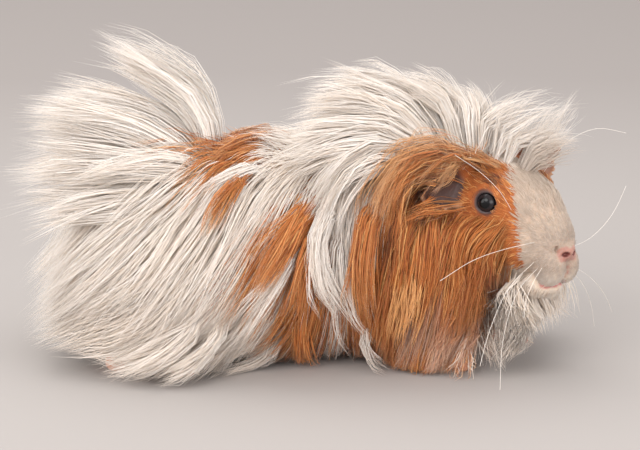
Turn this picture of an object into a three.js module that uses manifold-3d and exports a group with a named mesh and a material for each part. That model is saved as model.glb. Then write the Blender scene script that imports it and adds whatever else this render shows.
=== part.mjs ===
// A long-haired guinea pig standing low with its head turned to its right, life size.
// Millimetres, +Z up. +X runs toward the head, +Y toward the animal's left side.
// Each solid is the outer shape of the coat or the bare part, so the outline runs to the hair tips.
import * as THREE from 'three';
import { mergeVertices } from 'three/addons/utils/BufferGeometryUtils.js';
import Module from 'manifold-3d';

const wasm = await Module();
wasm.setup();

// ---- driving dimensions ----
const gap = 0.35; // clear space between neighbouring parts
const sole = 0; // height of the ground under the feet
const hem = 1.6; // height of the coat's lower edge above the ground

const headCentre = new THREE.Vector3(89, -28, 81); // midway between the eyes
const headTurn = THREE.MathUtils.degToRad(-48); // toward the animal's right
const eyeSpread = 17.2; // eyeball centre from the head's mid-plane
const eyeRadius = 5.7;
const earLength = 30;
const earWidth = 24;
const earThickness = 1.8;
const earCup = 4.5; // how far the petal's edges curl forward
const earRoom = 1.3; // space that the coat leaves round an ear
const clawLength = 6;

const rumpCut = -48; // plane between rump and trunk
const chestCut = 38; // plane between trunk and chest

const colours = {
  white: 0xe9ddd0,
  ginger: 0xb9763c,
  skin: 0xcf9a86,
  ear: 0xb58a68,
  eye: 0x17181c,
  claw: 0xcbb9a4,
};

// ---- solids from moved sphere vertices ----
function toSolid(geometry) {
  const bare = geometry.clone();
  bare.deleteAttribute('normal');
  bare.deleteAttribute('uv');
  const merged = mergeVertices(bare, 1e-4);
  const vertProperties = new Float32Array(merged.attributes.position.array);
  const triVerts = new Uint32Array(merged.index.array);
  return new wasm.Manifold(new wasm.Mesh({ numProp: 3, vertProperties, triVerts }));
}

function largestBody(solid) {
  const bodies = solid.decompose();
  return bodies.reduce((best, body) => (body.volume() > best.volume() ? body : best));
}

function joined(solids) {
  return solids.reduce((whole, solid) => whole.add(solid));
}

function moveVertices(geometry, move) {
  const position = geometry.attributes.position;
  const point = new THREE.Vector3();
  for (let i = 0; i < position.count; i += 1) {
    point.fromBufferAttribute(position, i);
    const moved = move(point);
    position.setXYZ(i, moved.x, moved.y, moved.z);
  }
  return geometry;
}

// An ellipsoid with its own centre and half-sizes.
function ellipsoid({ centre, radii, grow = 0, around = 12, along = 8 }) {
  const geometry = new THREE.SphereGeometry(1, around, along);
  geometry.scale(radii[0] + grow, radii[1] + grow, radii[2] + grow);
  geometry.translate(...centre);
  return geometry;
}

// A closed shape along a curve. Each station has a place and a half-width and half-height.
// `across` is the direction of the width, and `blunt` under 1 keeps the ends full.
function loft({ stations, across, grow = 0, around = 10, along = 9, blunt = 0.5, section }) {
  const places = stations.map((station) => new THREE.Vector3(...station.at));
  const spine = new THREE.CatmullRomCurve3(places, false, 'centripetal');
  const sizes = new THREE.SplineCurve(
    stations.map((station) => new THREE.Vector2(station.wide, station.tall)),
  );
  const widthAxis = new THREE.Vector3(...across);
  const geometry = new THREE.SphereGeometry(1, around, along);
  return moveVertices(geometry, (unit) => {
    const share = THREE.MathUtils.clamp(Math.acos(-THREE.MathUtils.clamp(unit.y, -1, 1)) / Math.PI, 0, 1);
    const ring = Math.hypot(unit.x, unit.z);
    const angle = Math.atan2(unit.z, unit.x);
    const place = spine.getPoint(share);
    const ahead = spine.getTangent(share);
    const side = widthAxis.clone().addScaledVector(ahead, -widthAxis.dot(ahead)).normalize();
    const rise = new THREE.Vector3().crossVectors(side, ahead);
    const size = sizes.getPoint(share);
    const full = ring ** blunt;
    let sideways = Math.cos(angle);
    let upward = Math.sin(angle);
    if (section) {
      [sideways, upward] = section(sideways, upward, share);
    }
    return place
      .addScaledVector(side, sideways * (size.x + grow) * full)
      .addScaledVector(rise, upward * (size.y + grow) * full)
      .addScaledVector(ahead, grow * Math.sign(unit.y) * (1 - ring));
  });
}

// A big block that keeps what lies on one side of a plane.
function halfSpace(point, direction) {
  const size = 600;
  const block = new THREE.BoxGeometry(size, size, size);
  const normal = new THREE.Vector3(...direction).normalize();
  block.applyQuaternion(new THREE.Quaternion().setFromUnitVectors(new THREE.Vector3(0, 0, 1), normal));
  const middle = new THREE.Vector3(...point).addScaledVector(normal, size / 2);
  block.translate(middle.x, middle.y, middle.z);
  return toSolid(block);
}

const aboveSole = halfSpace([0, 0, sole], [0, 0, 1]);
const aboveHem = halfSpace([0, 0, hem], [0, 0, 1]);

// The head's own frame: first axis forward, second to the left, third up.
const headFrame = new THREE.Matrix4()
  .makeRotationZ(headTurn)
  .setPosition(headCentre);

function inHead(geometry) {
  return geometry.applyMatrix4(headFrame);
}

function headPoint(forward, left, up) {
  return new THREE.Vector3(forward, left, up).applyMatrix4(headFrame).toArray();
}

function headDirection(forward, left, up) {
  return new THREE.Vector3(forward, left, up).transformDirection(headFrame).toArray();
}

const sides = [['right', -1], ['left', 1]];

// ---- head ----
function eyeball(side, grow) {
  const centre = [0.6, side * eyeSpread, 0];
  const radii = [eyeRadius, eyeRadius, eyeRadius];
  return toSolid(inHead(ellipsoid({ centre, radii, grow })));
}

// The gap between the lids, which opens outward from the eyeball.
function eyeOpening(side) {
  const centre = [1.6, side * (eyeSpread + 6.5), 0.2];
  return toSolid(inHead(ellipsoid({ centre, radii: [5.3, 5, 4.7] })));
}

// The head in one tapering form, highest between the ears and blunt at the lips.
const headStations = [
  { at: [-31, 0, -1], wide: 15, tall: 15 },
  { at: [-20, 0, -4], wide: 22, tall: 25 },
  { at: [-8, 0, -8], wide: 24, tall: 28 },
  { at: [4, 0, -9.5], wide: 21.5, tall: 26.5 },
  { at: [15, 0, -15.5], wide: 17.5, tall: 22 },
  { at: [24, 0, -23.5], wide: 14, tall: 19.5 },
  { at: [31, 0, -27], wide: 12, tall: 15 },
  { at: [36.5, 0, -28], wide: 9, tall: 10.5 },
];

function headShape(grow) {
  return toSolid(inHead(loft({
    stations: headStations, across: [0, -1, 0], grow, around: 18, along: 12, blunt: 0.45,
  })));
}

function nosePad(grow) {
  return toSolid(inHead(ellipsoid({
    centre: [33.5, 0, -20.5], radii: [3.6, 5.6, 4.2], grow, around: 10, along: 7,
  })));
}

// A thin cupped petal that stands out from the side of the skull and droops, open to the front.
function ear(side, grow) {
  const droop = side < 0 ? -0.42 : -0.16;
  const outward = new THREE.Vector3(-0.14, side * 0.9, droop).normalize();
  const forward = new THREE.Vector3(0.86, side * 0.3, -0.2);
  forward.addScaledVector(outward, -forward.dot(outward)).normalize();
  const broad = new THREE.Vector3().crossVectors(outward, forward);
  const root = new THREE.Vector3(-13, side * 17, 14);
  const leaf = new THREE.SphereGeometry(1, 12, 8);
  moveVertices(leaf, (unit) => {
    const share = (unit.y + 1) / 2;
    const ring = Math.hypot(unit.x, unit.z);
    const breadth = Math.sin(Math.PI * (0.12 + 0.86 * share)) ** 0.6;
    const edge = unit.x * (ring > 0 ? ring ** -0.4 : 1);
    return root.clone()
      .addScaledVector(outward, share * earLength + grow * unit.y)
      .addScaledVector(broad, edge * (breadth * earWidth / 2 + grow))
      .addScaledVector(forward, unit.z * (earThickness / 2 + grow) + earCup * edge * edge * breadth);
  });
  return toSolid(inHead(leaf));
}

// ---- coat of the body ----
// Round above, and full and steep below, where the long hair hangs as a skirt.
function skirtSection(sideways, upward) {
  const steep = upward < 0 ? 0.55 : 1;
  return [Math.sign(sideways) * Math.abs(sideways) ** steep, upward];
}

const bodyStations = [
  { at: [-121, 0, 22], wide: 34, tall: 26 },
  { at: [-104, 0, 30], wide: 50, tall: 44 },
  { at: [-80, 0, 34], wide: 60, tall: 60 },
  { at: [-48, 0, 36], wide: 65, tall: 69 },
  { at: [-15, 0, 37], wide: 66, tall: 74.5 },
  { at: [18, -1, 38], wide: 65, tall: 75 },
  { at: [46, -4, 38], wide: 58, tall: 70 },
  { at: [68, -8, 36], wide: 46, tall: 56 },
  { at: [88, -12, 32], wide: 32, tall: 38 },
];

function bodyCoat(grow) {
  const whole = loft({
    stations: bodyStations, across: [0, -1, 0], grow, around: 28, along: 20, blunt: 0.5,
    section: skirtSection,
  });
  return toSolid(whole);
}

function boxySection(sideways, upward) {
  return [Math.sign(sideways) * Math.abs(sideways) ** 0.6, Math.sign(upward) * Math.abs(upward) ** 0.6];
}

// The open space under the belly, inside the skirt and out between the forefeet.
function bellySpace() {
  return toSolid(loft({
    stations: [
      { at: [-108, 0, 0], wide: 38, tall: 9 },
      { at: [-60, 0, 0], wide: 52, tall: 11 },
      { at: [0, 0, 0], wide: 53, tall: 11 },
      { at: [50, -3, 0], wide: 44, tall: 12 },
      { at: [118, -8, 0], wide: 34, tall: 12 },
    ],
    across: [0, -1, 0], around: 10, along: 6, section: boxySection,
  }));
}

function neckCoat(grow) {
  return toSolid(loft({
    stations: [
      { at: [36, -2, 72], wide: 36, tall: 34 },
      { at: [58, -9, 80], wide: 36, tall: 33 },
      { at: headPoint(-14, 0, -2), wide: 30, tall: 26 },
    ],
    across: [0, -1, 0], grow, around: 12, along: 7,
  }));
}

function maneCoat(grow) {
  return toSolid(loft({
    stations: [
      { at: [-3, -6, 119], wide: 18, tall: 8 },
      { at: [15, -5, 114], wide: 36, tall: 22 },
      { at: [36, -7, 108], wide: 43, tall: 29.5 },
      { at: [60, -13, 113], wide: 34, tall: 22 },
      { at: [82, -19, 109], wide: 30, tall: 18 },
      { at: [103, -18, 106], wide: 18, tall: 10 },
    ],
    across: [0, -1, 0], grow, around: 16, along: 10,
  }));
}

// Long hair hanging from the side of the head.
function cheekCoat(side, grow) {
  const stations = side < 0
    ? [
      { at: headPoint(-14, -20, 6), wide: 18, tall: 7 },
      { at: headPoint(-12, -29, -16), wide: 25, tall: 12 },
      { at: [64, -56, 44], wide: 30, tall: 14 },
      { at: [60, -58, 20], wide: 29, tall: 12.5 },
      { at: [55, -58, hem - 7], wide: 23, tall: 9 },
    ]
    : [
      { at: headPoint(-16, 20, 4), wide: 15, tall: 7 },
      { at: headPoint(-12, 27, -14), wide: 21, tall: 12 },
      { at: [105, 4, 46], wide: 24, tall: 14 },
      { at: [110, 7, 28], wide: 22, tall: 12 },
      { at: [113, 10, 5], wide: 14, tall: 7 },
    ];
  const across = side < 0 ? [1, 0, 0] : headDirection(1, 0.5, 0);
  return toSolid(loft({ stations, across, grow, around: 10, along: 8, blunt: 0.6 }));
}

// ---- locks ----
// A lock is a tapered strand of hair from a root inside the coat to its tip.
function lock({ root, middle, tip, wide, deep, across = [0, 1, 0] }, grow) {
  const bend = new THREE.QuadraticBezierCurve3(
    new THREE.Vector3(...root), new THREE.Vector3(...middle), new THREE.Vector3(...tip),
  );
  const profile = [[0, 0.95], [0.3, 1.1], [0.55, 1], [0.8, 0.6], [1, 0.1]];
  const stations = profile.map(([share, size]) => ({
    at: bend.getPoint(share).toArray(), wide: wide * size, tall: Math.max(deep * size, 0.6),
  }));
  return toSolid(loft({ stations, across, grow, around: 6, along: 7, blunt: 0.7 }));
}

// The plume stands up and back from the rump, then the locks fan down to the ground behind.
const plumeLocks = [
  { root: [-49, -2, 92], middle: [-58, -4, 130], tip: [-106, -6, 149.5], wide: 17, deep: 9.5 },
  { root: [-60, 4, 88], middle: [-84, 6, 121], tip: [-128, 4, 130], wide: 20, deep: 12 },
  { root: [-66, -8, 82], middle: [-98, -12, 110], tip: [-141, -12, 120], wide: 20, deep: 12 },
  { root: [-72, 10, 76], middle: [-108, 14, 98], tip: [-145.5, 12, 109], wide: 22, deep: 12 },
  { root: [-78, -10, 68], middle: [-114, -16, 84], tip: [-148, -14, 90], wide: 24, deep: 12 },
  { root: [-82, 10, 60], middle: [-116, 18, 70], tip: [-147, 16, 79], wide: 26, deep: 12 },
  { root: [-86, -14, 50], middle: [-118, -24, 58], tip: [-145, -22, 62], wide: 28, deep: 13 },
  { root: [-88, 14, 40], middle: [-118, 28, 44], tip: [-141, 24, 44], wide: 30, deep: 13 },
  { root: [-90, -18, 30], middle: [-118, -30, 30], tip: [-137, -30, 26], wide: 30, deep: 13 },
  { root: [-88, 20, 18], middle: [-114, 34, 17], tip: [-133, 34, 9], wide: 30, deep: 12 },
  { root: [-88, -24, 16], middle: [-114, -38, 14], tip: [-133, -40, 6], wide: 28, deep: 11 },
];

const maneLocks = [
  { root: [22, -10, 126], middle: [6, -12, 134], tip: [-8, -14, 131], wide: 12, deep: 5.5 },
  { root: [24, -30, 112], middle: [2, -36, 121], tip: [-13, -36, 116], wide: 12, deep: 6 },
  { root: [66, -24, 122], middle: [90, -24, 128], tip: [108, -20, 119], wide: 14, deep: 6 },
  { root: [84, -12, 106], middle: [106, -8, 112], tip: [124, -4, 113], wide: 14, deep: 6 },
];

// ---- legs ----
const legs = [
  {
    name: 'front_right', heel: [49, -27], heading: -8, length: 20, width: 6, toes: 4,
    upper: [[48, -24, 34], [48, -26, 12]],
  },
  {
    name: 'front_left', heel: [79, 16], heading: 2, length: 20, width: 6, toes: 4,
    upper: [[70, 18, 34], [77, 16, 12]],
  },
  {
    name: 'hind_right', heel: [-95, -35], heading: -5, length: 37, width: 6.6, toes: 3,
    upper: [[-76, -32, 36], [-89, -34, 14]],
  },
  {
    name: 'hind_left', heel: [-92, 35], heading: 5, length: 37, width: 6.6, toes: 3,
    upper: [[-73, 32, 36], [-86, 34, 14]],
  },
];

const toeLength = 9;
const toeFan = THREE.MathUtils.degToRad(13); // angle between neighbouring toes

function toeFrames(leg) {
  const heading = THREE.MathUtils.degToRad(leg.heading);
  const ballReach = leg.length - toeLength;
  const ball = new THREE.Vector3(
    leg.heel[0] + ballReach * Math.cos(heading),
    leg.heel[1] + ballReach * Math.sin(heading),
    0,
  );
  return Array.from({ length: leg.toes }, (_, i) => {
    const place = i - (leg.toes - 1) / 2;
    const turn = heading - place * toeFan;
    const side = place * leg.width * 1.5 / (leg.toes - 1);
    const origin = ball.clone();
    origin.x += side * Math.sin(heading);
    origin.y -= side * Math.cos(heading);
    return new THREE.Matrix4().makeRotationZ(turn).setPosition(origin);
  });
}

function ballOfFoot(leg) {
  const heading = THREE.MathUtils.degToRad(leg.heading);
  const reach = leg.length - toeLength;
  return [leg.heel[0] + reach * Math.cos(heading), leg.heel[1] + reach * Math.sin(heading), 2.6];
}

function upperLeg(leg, grow) {
  return toSolid(loft({
    stations: [
      { at: leg.upper[0], wide: leg.width * 1.2, tall: leg.width * 1.2 },
      { at: leg.upper[1], wide: leg.width * 0.7, tall: leg.width * 0.7 },
      { at: [...leg.heel, 3], wide: leg.width * 0.5, tall: leg.width * 0.5 },
    ],
    across: [0, 1, 0], grow, around: 8, along: 5,
  }));
}

function foot(leg) {
  const [heelX, heelY] = leg.heel;
  const ball = ballOfFoot(leg);
  return toSolid(loft({
    stations: [
      { at: [heelX - 2, heelY, 3.4], wide: leg.width * 0.5, tall: 3.8 },
      { at: [(heelX + ball[0]) / 2, (heelY + ball[1]) / 2, 3.4], wide: leg.width * 0.62, tall: 4 },
      { at: ball, wide: leg.width * 0.78, tall: 3.4 },
    ],
    across: [0, 1, 0], around: 8, along: 5,
  }));
}

function toe(frame) {
  return toSolid(ellipsoid({
    centre: [toeLength / 2, 0, 2.4], radii: [toeLength / 2 + 2, 2.3, 3.1], around: 6, along: 4,
  }).applyMatrix4(frame));
}

// The room that the coat leaves round a leg and its foot.
function legRoom(leg) {
  const [heelX, heelY] = leg.heel;
  const heading = THREE.MathUtils.degToRad(leg.heading);
  const reach = leg.length + clawLength;
  const tip = [heelX + reach * Math.cos(heading), heelY + reach * Math.sin(heading), 2];
  const footRoom = toSolid(loft({
    stations: [
      { at: [heelX - 5, heelY, 2], wide: leg.width, tall: 7 },
      { at: tip, wide: leg.width * 1.7, tall: 6 },
    ],
    across: [0, 1, 0], around: 8, along: 4,
  }));
  return upperLeg(leg, gap).add(footRoom);
}

// A claw is a short curved cone at the end of a toe.
function claw(frame, grow) {
  return toSolid(loft({
    stations: [
      { at: [toeLength - 1.5, 0, 3.4], wide: 1, tall: 1.3 },
      { at: [toeLength + clawLength * 0.3, 0, 3.2], wide: 0.9, tall: 1.1 },
      { at: [toeLength - 1.5 + clawLength, 0, 1.2], wide: 0.35, tall: 0.4 },
    ],
    across: [0, 1, 0], grow, around: 5, along: 5, blunt: 0.6,
  }).applyMatrix4(frame));
}

// ---- assembly ----
const coarse = 0.14; // how far a surface may move when its smallest facets are merged
const fine = 0.02;
const parts = new THREE.Group();
let taken = null; // everything placed so far, grown by the gap

function keepClear(solid) {
  return taken === null ? solid : largestBody(solid.subtract(taken));
}

function take(solid) {
  taken = taken === null ? solid : taken.add(solid);
}

function addPart(name, solid, colour, roughness, detail = coarse) {
  const smooth = largestBody(solid.simplify(detail));
  const { vertProperties, triVerts } = smooth.getMesh();
  const geometry = new THREE.BufferGeometry();
  geometry.setAttribute('position', new THREE.BufferAttribute(new Float32Array(vertProperties), 3));
  geometry.setIndex(new THREE.BufferAttribute(new Uint32Array(triVerts), 1));
  geometry.computeVertexNormals();
  const material = new THREE.MeshStandardMaterial({ color: colour, roughness, metalness: 0 });
  const mesh = new THREE.Mesh(geometry, material);
  mesh.name = name;
  parts.add(mesh);
}

for (const [name, side] of sides) {
  addPart(`eye_${name}`, eyeball(side, 0), colours.eye, 0.08);
  take(eyeball(side, gap));
  take(eyeOpening(side));
}

for (const leg of legs) {
  const frames = toeFrames(leg);
  frames.forEach((frame, i) => {
    addPart(`claw_${leg.name}_${i + 1}`, claw(frame, 0).intersect(aboveSole), colours.claw, 0.35);
  });
  take(joined(frames.map((frame) => claw(frame, gap))));
}

for (const leg of legs) {
  const shape = joined([upperLeg(leg, 0), foot(leg), ...toeFrames(leg).map(toe)]);
  addPart(`leg_${leg.name}`, keepClear(shape.intersect(aboveSole)), colours.skin, 0.7);
}
take(joined(legs.map(legRoom)));

addPart('nose', keepClear(nosePad(0)), colours.skin, 0.55);
take(nosePad(gap));
addPart('head', keepClear(headShape(0)), colours.white, 0.85);
take(headShape(gap));

for (const [name, side] of sides) {
  addPart(`ear_${name}`, keepClear(ear(side, 0)), colours.ear, 0.6, fine);
  take(ear(side, earRoom));
}

const coat = bodyCoat(0).intersect(aboveHem).subtract(bellySpace());
const behind = (x) => halfSpace([x - gap / 2, 0, 0], [-1, 0, 0]);
const ahead = (x) => halfSpace([x + gap / 2, 0, 0], [1, 0, 0]);
addPart('rump', keepClear(coat.intersect(behind(rumpCut))), colours.white, 0.9);
addPart('trunk', keepClear(coat.intersect(ahead(rumpCut)).intersect(behind(chestCut))), colours.ginger, 0.9);
addPart('chest', keepClear(coat.intersect(ahead(chestCut))), colours.white, 0.9);
take(bodyCoat(gap));

addPart('neck', keepClear(neckCoat(0)), colours.ginger, 0.9);
take(neckCoat(gap));

for (const [name, side] of sides) {
  const colour = side < 0 ? colours.ginger : colours.white;
  addPart(`cheek_${name}`, keepClear(cheekCoat(side, 0).intersect(aboveHem)), colour, 0.9);
  take(cheekCoat(side, gap));
}

addPart('mane', keepClear(maneCoat(0)), colours.white, 0.9);
take(maneCoat(gap));

function addLocks(name, list, colour) {
  list.forEach((shape, i) => {
    addPart(`${name}_${i + 1}`, keepClear(lock(shape, 0).intersect(aboveSole)), colour, 0.9);
    take(lock(shape, gap));
  });
}

addLocks('plume_lock', plumeLocks, colours.white);
addLocks('mane_lock', maneLocks, colours.white);

// Stand the model over its origin: the box's middle in X and Y, and the ground in Z.
const bounds = new THREE.Box3().setFromObject(parts);
const middle = bounds.getCenter(new THREE.Vector3());
parts.position.set(-middle.x, -middle.y, -bounds.min.z);
parts.updateMatrixWorld(true);

export default parts;
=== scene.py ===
# A long-haired guinea pig standing low with its head turned to its right, life size.
import math

import bpy
import numpy as np
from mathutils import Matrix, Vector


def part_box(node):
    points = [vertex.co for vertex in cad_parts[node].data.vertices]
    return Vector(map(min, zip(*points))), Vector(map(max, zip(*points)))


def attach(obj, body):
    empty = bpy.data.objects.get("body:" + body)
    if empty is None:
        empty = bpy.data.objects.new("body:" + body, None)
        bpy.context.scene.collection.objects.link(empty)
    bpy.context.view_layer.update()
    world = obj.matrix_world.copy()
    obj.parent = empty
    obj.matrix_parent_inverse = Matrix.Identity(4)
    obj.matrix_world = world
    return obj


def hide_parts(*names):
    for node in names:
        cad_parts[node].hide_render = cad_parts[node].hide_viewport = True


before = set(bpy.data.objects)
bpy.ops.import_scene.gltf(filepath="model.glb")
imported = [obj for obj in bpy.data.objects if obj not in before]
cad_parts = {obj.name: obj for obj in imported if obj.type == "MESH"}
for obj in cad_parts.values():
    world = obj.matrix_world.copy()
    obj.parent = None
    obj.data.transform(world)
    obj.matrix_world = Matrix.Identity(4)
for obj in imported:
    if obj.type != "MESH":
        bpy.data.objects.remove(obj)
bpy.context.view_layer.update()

import openvdb
from mathutils import Vector, kdtree

# All shapes here are in millimetres in the body's own axes, and go to the frame by toFrame.
# +X runs toward the head, +Y toward the animal's left side, Z is height over the ground.
headAt = {"centre": (89.0, -28.0, 81.0), "turn": -48.0}  # midway between the eyes, turned to the right


def boxCentre(node):
    low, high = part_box(node)
    return (np.array(low) + np.array(high)) / 2


def addObject(name, data):
    made = bpy.data.objects.new(name, data)
    bpy.context.scene.collection.objects.link(made)
    return made


eyeSpots = [boxCentre("eye_right"), boxCentre("eye_left")]
bodyShift = (eyeSpots[0] + eyeSpots[1]) / 2 * 1000 - np.array(headAt["centre"])


def toFrame(points):
    return (np.asarray(points, dtype=float) + bodyShift) / 1000


turn = math.radians(headAt["turn"])
headAxes = np.array([
    [math.cos(turn), math.sin(turn), 0],  # forward
    [-math.sin(turn), math.cos(turn), 0],  # left
    [0, 0, 1],  # up
])


def fromHead(points):
    return np.asarray(points, dtype=float) @ headAxes + np.array(headAt["centre"])


def toHead(points):
    return (np.asarray(points) - np.array(headAt["centre"])) @ headAxes.T


# The camera.
cameraSetup = {"target": (0, 0, 61), "distance": 1200, "elevation": 13, "focal": 143.1, "sensor": 36}
imageSize = (640, 450)


def cameraAxes():
    lift = math.radians(cameraSetup["elevation"])
    ahead = np.array([0, math.cos(lift), -math.sin(lift)])
    upward = np.array([0, math.sin(lift), math.cos(lift)])
    return ahead, upward


def cameraPlace():
    return np.array(cameraSetup["target"]) - cameraAxes()[0] * cameraSetup["distance"]


def makeCamera():
    data = bpy.data.cameras.new("camera")
    data.lens = cameraSetup["focal"]
    data.sensor_width = cameraSetup["sensor"]
    camera = addObject("camera", data)
    camera.location = toFrame(cameraPlace())
    camera.rotation_euler = (math.radians(90 - cameraSetup["elevation"]), 0, 0)
    bpy.context.scene.camera = camera


def sightLine(pixel):
    # where a pixel's line of sight starts and which way it goes
    ahead, upward = cameraAxes()
    perPixel = cameraSetup["sensor"] / cameraSetup["focal"] / imageSize[0]
    across = (pixel[0] - imageSize[0] / 2) * perPixel
    above = (imageSize[1] / 2 - pixel[1]) * perPixel
    direction = ahead + across * np.array([1, 0, 0]) + above * upward
    return cameraPlace(), direction / np.linalg.norm(direction)


makeCamera()
print("camera made")


# Distance fields, under zero inside the form.
def length(vectors):
    return np.sqrt((vectors * vectors).sum(axis=-1))


def unit(vectors):
    return vectors / np.maximum(length(vectors), 1e-9)[..., None]


def roundForm(p, centre, radii):
    q = (p - np.array(centre, dtype=p.dtype)) / np.array(radii, dtype=p.dtype)
    k0 = length(q)
    k1 = length(q / np.array(radii, dtype=p.dtype))
    return k0 * (k0 - 1) / np.maximum(k1, 1e-6)


def limb(p, start, end, startSize, endSize):
    start, end = np.array(start, dtype=p.dtype), np.array(end, dtype=p.dtype)
    along = end - start
    share = np.clip((p - start) @ along / (along @ along), 0, 1)
    return length(p - start - share[..., None] * along) - (startSize + (endSize - startSize) * share)


def merge(a, b, softness):
    h = np.clip(0.5 + 0.5 * (b - a) / softness, 0, 1)
    return b + (a - b) * h - softness * h * (1 - h)


def carve(a, b, softness):
    return -merge(-a, b, softness)


def smoothRange(x, low, high):
    t = np.clip((x - low) / (high - low), 0, 1)
    return t * t * (3 - 2 * t)


# The body under the coat.
bodyForms = {
    "barrel": {"centre": (-26, 0, 55), "radii": (68, 41, 43)},
    "rump": {"centre": (-62, 0, 52), "radii": (39, 37, 40)},
    "chest": {"centre": (38, -3, 54), "radii": (42, 35, 42)},
    "haunchRight": {"centre": (-66, -24, 36), "radii": (30, 18, 28)},
    "haunchLeft": {"centre": (-66, 24, 36), "radii": (30, 18, 28)},
    "shoulderRight": {"centre": (46, -27, 46), "radii": (20, 13, 28)},
    "shoulderLeft": {"centre": (54, 20, 46), "radii": (20, 13, 28)},
}
neckForm = {"start": (42, -4, 72), "end": (78, -20, 74), "startSize": 29, "endSize": 20}

groundGap = 0.15  # soles and claws stay this far over the ground
# The legs, each with its knee or elbow, heel, heading in degrees and foot length.
legForms = {
    "front_right": {"top": (46, -25, 34), "heel": (49, -27),
                   "heading": -8, "reach": 20, "size": 6, "toes": 4},
    "front_left": {"top": (68, 18, 34), "heel": (79, 16),
                  "heading": 2, "reach": 20, "size": 6, "toes": 4},
    "hind_right": {"top": (-74, -31, 34), "heel": (-95, -35),
                  "heading": -5, "reach": 37, "size": 6.6, "toes": 3},
    "hind_left": {"top": (-71, 31, 34), "heel": (-92, 35),
                 "heading": 5, "reach": 37, "size": 6.6, "toes": 3},
}
toeShape = {"length": 9, "fan": 13, "size": 2.1, "claw": 6}


def toeLines(leg):
    # the start and the direction of each toe on the ground
    heading = math.radians(leg["heading"])
    ball = np.array(leg["heel"]) + (leg["reach"] - toeShape["length"]) * np.array(
        [math.cos(heading), math.sin(heading)])
    lines = []
    for i in range(leg["toes"]):
        place = i - (leg["toes"] - 1) / 2
        angle = heading - math.radians(toeShape["fan"]) * place
        side = place * leg["size"] * 1.5 / (leg["toes"] - 1)
        start = ball + side * np.array([math.sin(heading), -math.cos(heading)])
        lines.append((start, np.array([math.cos(angle), math.sin(angle)])))
    return ball, lines


def legField(p, leg):
    ball, lines = toeLines(leg)
    heel = (*leg["heel"], 4.2)
    field = limb(p, leg["top"], heel, leg["size"] * 1.5, leg["size"] * 0.62)
    field = merge(field, limb(p, heel, (*ball, 3.2), leg["size"] * 0.6, leg["size"] * 0.52), 2)
    for start, way in lines:
        knuckle = start + way * toeShape["length"] * 0.45
        end = start + way * (toeShape["length"] - 0.5)
        toe = limb(p, (*start, 3.2), (*knuckle, 3.9), 2.5, toeShape["size"])
        toe = np.minimum(toe, limb(p, (*knuckle, 3.9), (*end, 2.5), toeShape["size"], toeShape["size"] * 0.9))
        pad = roundForm(p, (*(start + way * toeShape["length"] * 0.9), 1.9), (2.4, 2.1, 1.7))
        field = merge(field, merge(toe, pad, 0.8), 0.7)
    palm = roundForm(p, (*ball, 2.6), (5.5, leg["size"] * 0.85, 2.5))
    field = merge(field, palm, 1.5)
    return np.maximum(field, groundGap - p[..., 2])


# The head in its own axes: forward, left, up. Paired forms are given for the left and mirrored.
headForms = [
    {"centre": (-9, 0, -3), "radii": (25, 18, 20), "soft": 6},  # skull
    {"centre": (6, 0, -5), "radii": (22, 14, 16), "soft": 6},  # forehead
    {"centre": (20, 0, -15), "radii": (15.5, 10.5, 13), "soft": 6},  # bridge of the nose
    {"centre": (-7, 9, -18), "radii": (21, 12, 16), "soft": 6},  # jaw muscle
    {"centre": (10, 6, -20), "radii": (15, 9.5, 12.5), "soft": 5},  # cheek
    {"centre": (27, 4.2, -27), "radii": (8.2, 6.6, 9), "soft": 2.5},  # whisker pad
    {"centre": (17, 0, -37.5), "radii": (12, 7.2, 6), "soft": 3},  # chin
    {"centre": (-0.5, 13.6, 0.5), "radii": (11, 7.6, 9.8), "soft": 4},  # round the eye
    {"centre": (32.4, 0, -20.2), "radii": (4.4, 5.2, 4.2), "soft": 1.8},  # nose
]
eyeShape = {"centre": (0.6, 17.2, 0.0), "radius": 5.7, "opening": (5.25, 4.8), "lid": 0.6,
            "aim": (0.42, 0.9, 0.1)}
noseShape = {"nostril": (35.5, 2.6, -20.8), "size": (2.1, 1.8, 1.1), "wing": (32.5, 5.4, -18.6),
             "wingSize": (2.2, 0.8, 1.6), "cleft": 0.8, "cleftTop": (36.6, 0, -22),
             "cleftEnd": (33.0, 0, -34.4), "bare": (35.0, 2.6, -20.8), "bareSize": (4.0, 3.9, 3.8)}
mouthShape = {"corner": (24, 6.5, -36.6), "middle": (31.4, 0, -35.2), "depth": 0.75}


def mirrored(h):
    # folds both sides of the head onto the left one
    return np.stack([h[..., 0], np.abs(h[..., 1]), h[..., 2]], axis=-1)


def eyeAxes():
    # across the eye, the way it looks, and up it
    aim = unit(np.array(eyeShape["aim"]))
    across = unit(np.cross(aim, [0, 0, 1.0]))
    return np.array([across, aim, np.cross(across, aim)])


def eyeField(q):
    # lids round the eye: an oval ring that lies on the eyeball, in the eye's own axes
    wide, tall = eyeShape["opening"]
    ring = np.sqrt((q[..., 0] / wide) ** 2 + (q[..., 2] / tall) ** 2)
    onRing = (ring - 1) * (wide + tall) / 2
    seat = math.sqrt(eyeShape["radius"] ** 2 - (wide * 0.93) ** 2) + 0.3
    return np.sqrt(onRing ** 2 + (q[..., 1] - seat) ** 2) - eyeShape["lid"]


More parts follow.
